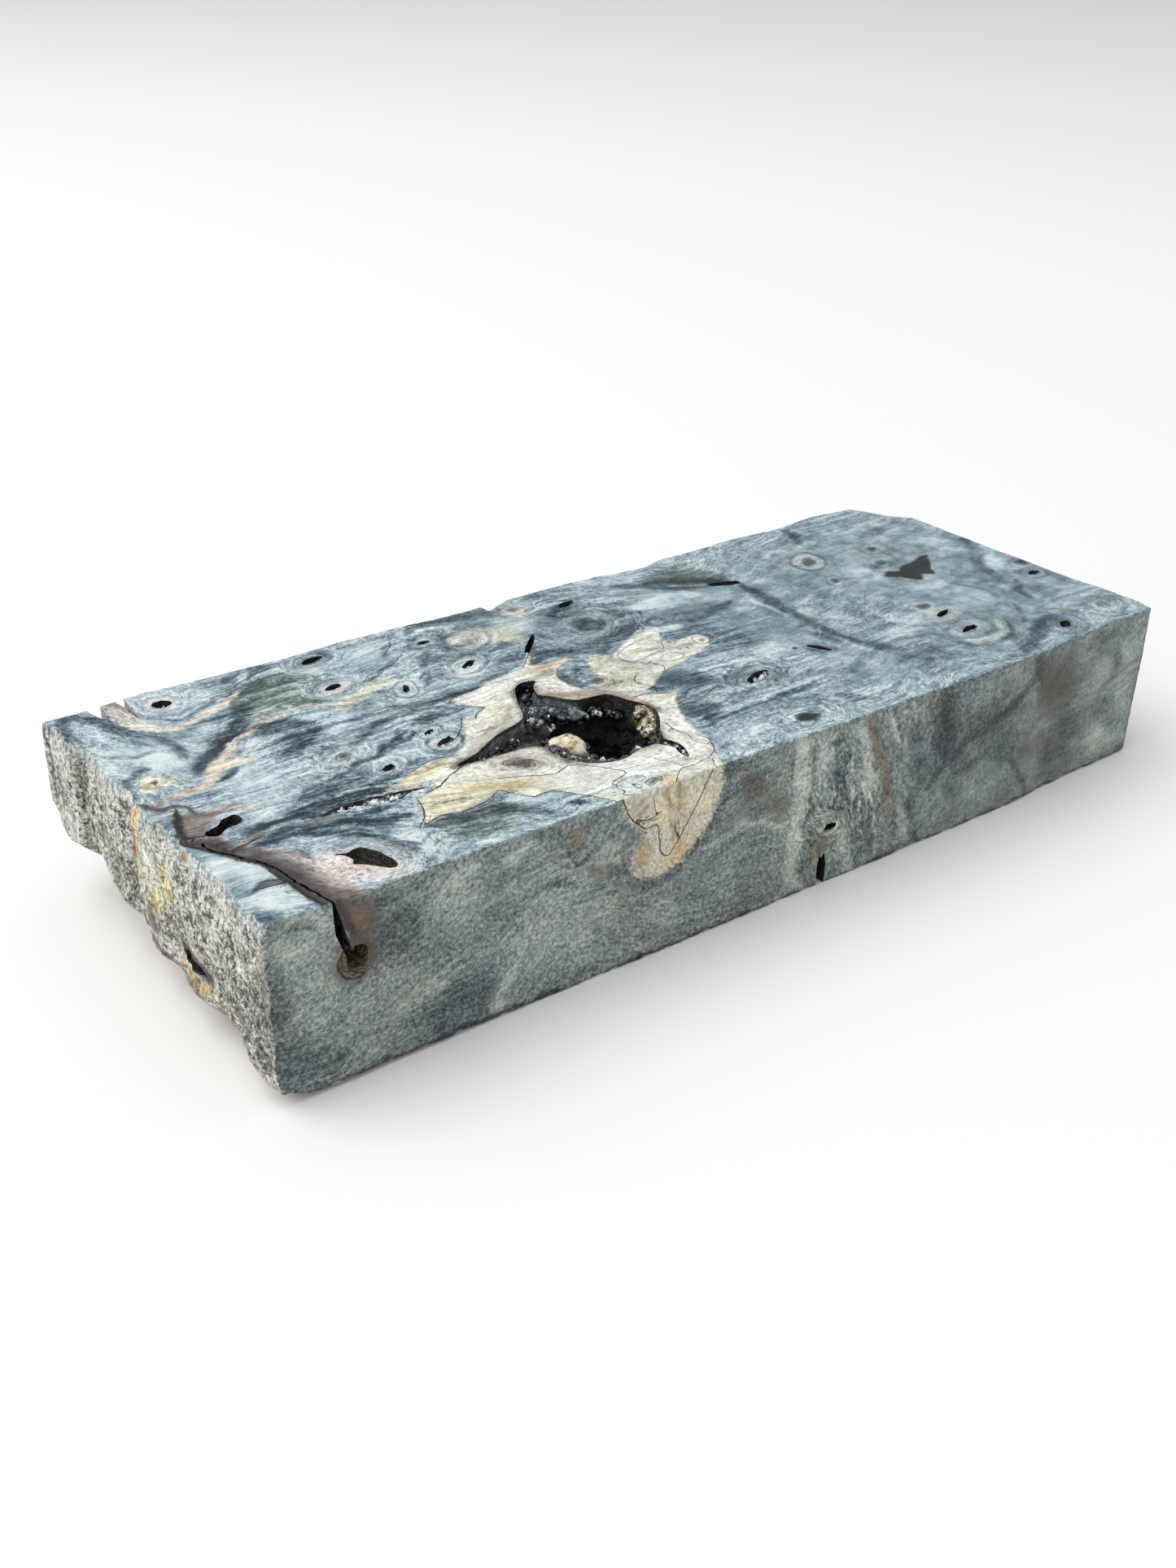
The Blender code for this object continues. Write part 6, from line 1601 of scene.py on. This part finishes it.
# 1 inside a rounded spot of the given place and radii, fading out between the two levels
def nearSpot(tree, places, place, radii, outer, inner):
    made = tree.nodes.new("ShaderNodeVectorMath")
    made.operation = "MULTIPLY_ADD"
    tree.links.new(places, made.inputs[0])
    made.inputs[1].default_value = [1 / radius for radius in radii]
    made.inputs[2].default_value = [-middle / radius for middle, radius in zip(place, radii)]
    length = tree.nodes.new("ShaderNodeVectorMath")
    length.operation = "LENGTH"
    tree.links.new(made.outputs[0], length.inputs[0])
    return Level(tree, length.outputs["Value"]).fall(inner, outer)


# What lines the openings; its spots are (place, radii), the amber ones with their strength
lining = {
    "shreds": (1.1, 4.0, 0.65), "grit": (3.2, 3.0, 0.7), "strands": (1.5, 0.5, 4.0, 0.7, 0.4),
    # dark bark and resin tones, whose rare palest specks are painted glints
    "darkAndGlintTones": ((0.36, (3, 3, 4)), (0.5, (16, 16, 18)), (0.6, (44, 45, 47)), (0.7, (124, 126, 128))),
    "shelfTones": (
        (0.36, (14, 15, 17)), (0.44, (78, 83, 86)), (0.55, (118, 124, 126)), (0.66, (196, 202, 204)),
    ),
    "amberTones": (
        (0.32, (30, 24, 18)), (0.46, (112, 92, 58)), (0.6, (196, 184, 150)), (0.72, (238, 234, 222)),
    ),
    # near-black for the deep part of the hollow: painted shade over the dark bark lining
    "paintedDeepShade": (3, 3, 4),
    "lip": (21.9, 22.3),
    "shelfSpots": (((-28.4, -6.0, 21.4), (9.6, 4.8, 3.0)), ((-18.6, -2.4, 21.2), (4.6, 5.0, 2.2))),
    "amberSpots": (
        ((-9.2, -11.0, 20.6), (1.4, 2.2, 1.8), 1.0), ((-11.4, -15.0, 21.0), (1.5, 2.4, 1.4), 1.0),
        ((-60.4, -26.4, 14.4), (2.4, 3.6, 2.0), 0.4), ((-55.4, -21.6, 21.0), (4.6, 5.0, 3.0), 0.1),
    ),
    "deepShadeSpot": ((-14.8, -12.0, 12.0), (7.0, 8.4, 7.6)),
    "bumpStrength": 0.9, "bumpDepth": 0.3,
}


# Dark bark and resin that line the hollow, the pits and the crack
def finishBarkLining(material):
    tree, shader, places = startShader(material)
    shreds, grit = (noiseAt(tree, places, *lining[name]) for name in ("shreds", "grit"))
    strands = streaksAt(tree, places, readFloat(tree, "grain"), *lining["strands"])
    both = grit * 0.4 + shreds * 0.6
    # dark lining, its rare palest specks painted glints
    dark = toneRamp(tree, both, lining["darkAndGlintTones"])
    ashen = toneRamp(tree, strands * 0.6 + both * 0.4, lining["shelfTones"])
    near, nearToo = (nearSpot(tree, places, *spot, 1.1, 0.7) for spot in lining["shelfSpots"])
    colour = blend(tree, near.atLeast(nearToo), dark, ashen)
    height = tree.nodes.new("ShaderNodeSeparateXYZ")
    tree.links.new(places, height.inputs[0])
    lip = Level(tree, height.outputs[2]).rise(*lining["lip"]) * 0.8
    colour = blend(tree, lip, colour, dark)
    amber = toneRamp(tree, grit, lining["amberTones"])
    for place, radii, strength in lining["amberSpots"]:
        spot = nearSpot(tree, places, place, radii, 1.25, 0.7) * strength
        colour = blend(tree, spot, colour, amber)
    # the deep part of the hollow turned near-black: painted shade over the dark bark
    deep = nearSpot(tree, places, *lining["deepShadeSpot"], 1.1, 0.8)
    tree.links.new(blend(tree, deep, colour, flat(lining["paintedDeepShade"])), shader.inputs["Base Color"])
    feed(tree, shader.inputs["Roughness"], shreds.rise(0.4, 0.6) * 0.35 + 0.14)
    addBump(tree, shader, shreds + grit, lining["bumpStrength"], lining["bumpDepth"])


# Resin and crystals left in the openings, the smallest pale beads standing as painted glints on the dark
# resin and in the pits: each cluster runs along a path of (x, y, z), with its width across, its count and the
# smallest and largest bead radius
resinClusters = (
    (((-25.0, -12.2, 21.8), (-24.8, -13.8, 21.8), (-24.3, -15.6, 21.8), (-23.2, -17.2, 21.8)),
        0.9, 70, 0.3, 0.75),
    (((-23.4, -17.6, 21.8), (-21.8, -18.9, 21.8), (-19.2, -19.2, 21.7), (-16.4, -18.5, 21.7)),
        0.45, 70, 0.35, 0.75),
    (((-24.4, -12.2, 21.4), (-24.0, -14.2, 21.4), (-23.0, -15.6, 21.4), (-21.4, -16.4, 21.2)),
        0.5, 60, 0.4, 0.85),
    (((-24.0, -9.6, 21.4), (-22.4, -9.2, 21.2), (-20.2, -10.4, 21.2), (-19.8, -13.0, 21.0)),
        0.3, 16, 0.2, 0.36),
    (((-13.4, -18.8, 22.0), (-12.5, -20.2, 22.1), (-12.8, -22.0, 22.1), (-13.4, -23.6, 22.1)),
        0.25, 18, 0.2, 0.36),
    (((-34.0, -9.6, 22.0), (-30.0, -8.2, 21.2), (-26.0, -6.6, 20.6), (-22.6, -4.4, 20.4)),
        0.4, 22, 0.15, 0.34),
    (((-35.4, -10.3, 22.0), (-31.0, -10.5, 21.6), (-27.2, -10.9, 21.6)), 0.25, 30, 0.2, 0.4),
    (((-17.6, -2.4, 20.8), (-15.0, -4.2, 20.8), (-12.0, -5.4, 20.6), (-10.4, -7.6, 20.4)),
        0.5, 40, 0.25, 0.6),
    (((-17.6, 2.2, 21.2), (-18.4, 0.4, 21.0), (-19.6, -1.8, 20.8), (-20.8, -4.0, 20.6)),
        0.7, 30, 0.25, 0.55),
    (((-19.8, -1.2, 20.9), (-18.6, -2.6, 20.8), (-17.0, -4.2, 20.8), (-15.4, -5.0, 20.8)),
        0.9, 34, 0.4, 1.0),
    (((-9.6, -13.2, 21.2), (-10.8, -15.8, 21.0), (-12.8, -18.0, 21.4)), 0.5, 26, 0.3, 0.6),
)
# pale crystals, and small white beads that stand as painted glints on the dark resin and in the pits
crystalAndGlintClusters = (
    (((-8.9, -10.0, 21.4), (-9.5, -11.6, 21.2), (-10.4, -13.4, 21.2), (-11.4, -15.4, 21.4)),
        0.6, 26, 0.4, 0.95),
    (((-9.6, -9.6, 21.9), (-10.0, -11.0, 21.0), (-11.2, -13.6, 20.8)), 0.5, 12, 0.3, 0.6),
    (((-12.9, -18.9, 22.1), (-12.5, -21.0, 22.2), (-13.1, -23.2, 22.2)), 0.15, 14, 0.14, 0.26),
    (((-16.8, -18.1, 22.0), (-16.5, -18.4, 22.0)), 0.1, 3, 0.4, 0.55),
    (((-25.0, -12.8, 22.2), (-24.6, -15.0, 22.2), (-23.4, -16.8, 22.2), (-21.4, -18.4, 22.2)),
        0.6, 60, 0.1, 0.24),
    (((-33.6, -9.9, 22.0), (-30.0, -10.0, 21.6), (-26.4, -10.4, 21.4)), 0.4, 26, 0.08, 0.18),
    (((-29.0, -7.6, 21.2), (-24.4, -5.4, 20.7), (-22.2, -2.6, 20.7), (-20.4, 0.2, 20.9)),
        0.5, 16, 0.08, 0.18),
    (((-21.6, -3.6, 21.4), (-20.8, -5.0, 21.0), (-19.4, -6.0, 20.6)), 0.5, 14, 0.1, 0.26),
    (((-20.2, -2.2, 21.6), (-18.4, -3.6, 21.5), (-16.4, -4.8, 21.4)), 0.7, 34, 0.08, 0.22),
    (((-15.2, -5.6, 20.8), (-13.0, -6.0, 20.8), (-11.4, -6.8, 20.8)), 0.35, 12, 0.12, 0.3),
    (((-35.0, -4.9, 21.9), (-33.8, -4.3, 21.9)), 0.3, 9, 0.2, 0.38),
    (((8.2, -12.2, 21.8), (10.0, -11.3, 21.9)), 0.5, 12, 0.25, 0.5),
    (((-57.6, 23.4, 21.8), (-56.6, 23.2, 21.8)), 0.4, 5, 0.2, 0.34),
    (((-37.9, 15.6, 21.9), (-37.0, 16.0, 21.9)), 0.3, 6, 0.18, 0.3),
    (((-20.4, 11.8, 21.9), (-19.4, 12.4, 21.9)), 0.3, 5, 0.16, 0.28),
    (((-11.6, 11.0, 22.0), (-11.0, 11.6, 22.0)), 0.2, 4, 0.16, 0.26),
    (((-34.9, -1.5, 22.2), (-34.2, -1.2, 22.2)), 0.2, 4, 0.14, 0.24),
    (((43.0, -17.2, 21.8), (44.0, -16.8, 21.8)), 0.3, 4, 0.18, 0.3),
    (((-53.8, -11.6, 22.1), (-51.0, -11.5, 22.1), (-48.6, -11.8, 22.1), (-46.2, -12.2, 22.1),
        (-43.4, -12.4, 22.1)), 0.5, 64, 0.14, 0.34),
    (((-49.2, -11.5, 22.1), (-48.2, -11.9, 22.1), (-47.2, -12.6, 22.1)), 0.4, 9, 0.4, 0.56),
)


# Beads: each kind's roughness, seed and smooth angle, how a bead is stretched, and the room left above it
# and above its middle
beading = {
    "black": {"rough": 0.35, "seed": 5, "smooth": 180},
    "pale": {"rough": 0.8, "seed": 8, "smooth": 28},
    "bumpSize": 0.9, "bumpShift": 90, "stretch": (0.75, 1.25), "topGap": 0.05, "middleGap": 0.15,
}


# Rough beads scattered along the clusters' paths and joined into one piece
def addBeads(name, clusters, material, rough, seed, smooth):
    pick = np.random.default_rng(seed)
    highest = slab["height"] - beading["topGap"]
    beads = []
    for path, width, count, smallest, largest in clusters:
        line = smoothPath(path, 6, closed=False)
        for place in line[pick.integers(0, len(line), count)]:
            place = place + pick.uniform(-width, width, 3) * (1, 1, 0.5)
            radius = pick.uniform(smallest, largest)
            place[2] = min(place[2], slab["height"] - beading["middleGap"] - radius * beading["stretch"][0])
            deselectAll()
            bpy.ops.mesh.primitive_ico_sphere_add(subdivisions=2, radius=mm)
            bead = bpy.context.object
            points = readPoints(bead)
            shift = pick.uniform(0, beading["bumpShift"])
            points *= (1.0 + rough * grainNoise(points, beading["bumpSize"], shift))[:, None]
            points *= radius * pick.uniform(*beading["stretch"], 3)
            points += place
            points[:, 2] = np.minimum(points[:, 2], highest)
            movePoints(bead, points)
            beads.append(bead)
    piece = joinTools(beads, name)
    piece.data.materials.append(material)
    material.use_nodes = True
    shadeSmooth(piece, smooth)
    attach(piece, "root")
    return piece


# Resin and lump: noise as for noiseAt, tones, and the spots where the second tones or the slate grey-blue
# show; that grey-blue is partly the resin's own slate colour and partly painted sheen where the ledge catches
# the light
resin = {
    "slateSheen": (0.9, 3.0, 0.6), "speckle": (0.9, 2.0, 0.6), "lump": (0.7, 4.0, 0.7),
    "plain": (14, 14, 16),
    "slateSheenTones": ((0.4, (12, 13, 15)), (0.5, (56, 64, 70)), (0.6, (128, 140, 148))),
    # icy whites of the crystals, also painted glints where the small beads stand for them
    "icyAndGlintTones": (
        (0.34, (34, 38, 42)), (0.44, (128, 138, 144)), (0.52, (226, 232, 236)), (0.6, (250, 251, 252)),
        (0.68, (120, 130, 136)),
    ),
    "amberTones": (
        (0.36, (24, 20, 16)), (0.44, (104, 88, 56)), (0.5, (170, 158, 124)), (0.57, (244, 243, 236)),
        (0.66, (58, 56, 50)),
    ),
    "lumpTones": (
        (0.36, (84, 70, 50)), (0.44, (188, 164, 116)), (0.5, (222, 212, 184)), (0.6, (238, 238, 230)),
    ),
    # the ledge whose black resin turns slate grey-blue: partly painted sheen of the lit ledge
    "slateSheenSpot": ((-18.4, -2.8, 21.2), (5.4, 5.2, 3.2)),
    "wallSpot": ((-10.4, -12.6, 21.4), (3.4, 5.0, 3.0)),
    "resinRoughness": 0.12, "resinCoat": 0.5, "crystalRoughness": 0.14, "lumpRoughness": 0.35,
}


def finishBlackResin(material):
    tree, shader, places = startShader(material)
    # grey-blue slate on the ledge's black resin, partly painted sheen where the ledge catches the light
    slateSheen = toneRamp(tree, noiseAt(tree, places, *resin["slateSheen"]), resin["slateSheenTones"])
    colour = blend(tree, nearSpot(tree, places, *resin["slateSheenSpot"], 1.1, 0.8), flat(resin["plain"]), slateSheen)
    tree.links.new(colour, shader.inputs["Base Color"])
    shader.inputs["Roughness"].default_value = resin["resinRoughness"]
    shader.inputs["Coat Weight"].default_value = resin["resinCoat"]


# Pale crystals: icy white, and painted glints where the small beads stand for them; amber on the hollow's
# wall
def finishPaleCrystalAndGlint(material):
    tree, shader, places = startShader(material)
    speckle = noiseAt(tree, places, *resin["speckle"])
    icy, amber = (toneRamp(tree, speckle, resin[name]) for name in ("icyAndGlintTones", "amberTones"))
    onWall = nearSpot(tree, places, *resin["wallSpot"], 1.1, 0.9)
    tree.links.new(blend(tree, onWall, icy, amber), shader.inputs["Base Color"])
    shader.inputs["Roughness"].default_value = resin["crystalRoughness"]


def finishPaleLump(material):
    tree, shader, places = startShader(material)
    shade = toneRamp(tree, noiseAt(tree, places, *resin["lump"]), resin["lumpTones"])
    tree.links.new(shade, shader.inputs["Base Color"])
    shader.inputs["Roughness"].default_value = resin["lumpRoughness"]


toolMaterials = [bpy.data.materials.new(name) for name in ("burlWood", "barkLining", "paleLump")]
for material in toolMaterials:
    material.use_nodes = True

burlBlock = addBurlBlock()
paintBlock(burlBlock)
finishBurlWood(toolMaterials[0])
finishBarkLining(toolMaterials[1])
finishPaleLump(toolMaterials[2])
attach(burlBlock, "root")
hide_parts("burl_block")

resinMaterial = bpy.data.materials.new("blackResin")
addBeads("blackResin", resinClusters, resinMaterial, **beading["black"])
finishBlackResin(resinMaterial)
crystalAndGlintMaterial = bpy.data.materials.new("paleCrystalAndGlint")
addBeads("paleCrystalsAndGlints", crystalAndGlintClusters, crystalAndGlintMaterial, **beading["pale"])
finishPaleCrystalAndGlint(crystalAndGlintMaterial)
print("resin and crystals set in")


# The photograph's viewpoint: lens and sensor in millimetres, angles in degrees, distances in metres
camera = {
    "lens": 38.244, "sensor": 36.0, "turn": 38.1386, "tip": 28.6445, "roll": 1.5002,
    "place": (-0.12799, -0.15101, 0.11198), "clip": (0.01, 20),
}


def addCamera():
    data = bpy.data.cameras.new("camera")
    data.lens, data.sensor_width = camera["lens"], camera["sensor"]
    data.clip_start, data.clip_end = camera["clip"]
    data.dof.use_dof = False
    turn, tip, roll = (math.radians(camera[key]) for key in ("turn", "tip", "roll"))
    ahead = Vector((math.sin(turn) * math.cos(tip), math.cos(turn) * math.cos(tip), -math.sin(tip)))
    right = Vector((math.cos(turn), -math.sin(turn), 0))
    up = right.cross(ahead)
    across = right * math.cos(roll) + up * math.sin(roll)
    upright = up * math.cos(roll) - right * math.sin(roll)
    eye = bpy.data.objects.new("camera", data)
    eye.matrix_world = Matrix((across, upright, -ahead)).transposed().to_4x4()
    eye.location = camera["place"]
    bpy.context.scene.collection.objects.link(eye)
    bpy.context.scene.camera = eye


# Pale floor just under the block, even sky light and one soft box, in metres
studio = {
    "floor": 0.94, "floorSize": 12.0, "floorDrop": 0.00005, "floorRoughness": 0.9, "sky": 0.62,
    "softbox": 16.0, "softboxSize": 1.4, "softboxPlace": (-0.75, 0.35, 1.25),
}


def addStudio():
    deselectAll()
    bpy.ops.mesh.primitive_plane_add(size=studio["floorSize"], location=(0, 0, -studio["floorDrop"]))
    floor = bpy.context.object
    floor.name = "floor"
    bpy.ops.object.transform_apply(location=True, rotation=True, scale=True)
    paint = bpy.data.materials.new("paleFloor")
    paint.use_nodes = True
    shader = paint.node_tree.nodes["Principled BSDF"]
    shader.inputs["Base Color"].default_value = (studio["floor"],) * 3 + (1.0,)
    shader.inputs["Roughness"].default_value = studio["floorRoughness"]
    shader.inputs["Specular IOR Level"].default_value = 0.0
    floor.data.materials.append(paint)
    world = bpy.data.worlds.new("studio")
    world.use_nodes = True
    world.node_tree.nodes["Background"].inputs["Color"].default_value = (1.0, 1.0, 1.0, 1.0)
    world.node_tree.nodes["Background"].inputs["Strength"].default_value = studio["sky"]
    bpy.context.scene.world = world
    light = bpy.data.lights.new("softbox", "AREA")
    light.shape, light.size, light.energy = "SQUARE", studio["softboxSize"], studio["softbox"]
    box = bpy.data.objects.new("softbox", light)
    box.location = studio["softboxPlace"]
    box.rotation_euler = (-box.location).to_track_quat("-Z", "Y").to_euler()
    bpy.context.scene.collection.objects.link(box)
    bpy.context.scene.view_settings.view_transform = "Standard"


addCamera()
addStudio()
print("camera and studio ready")
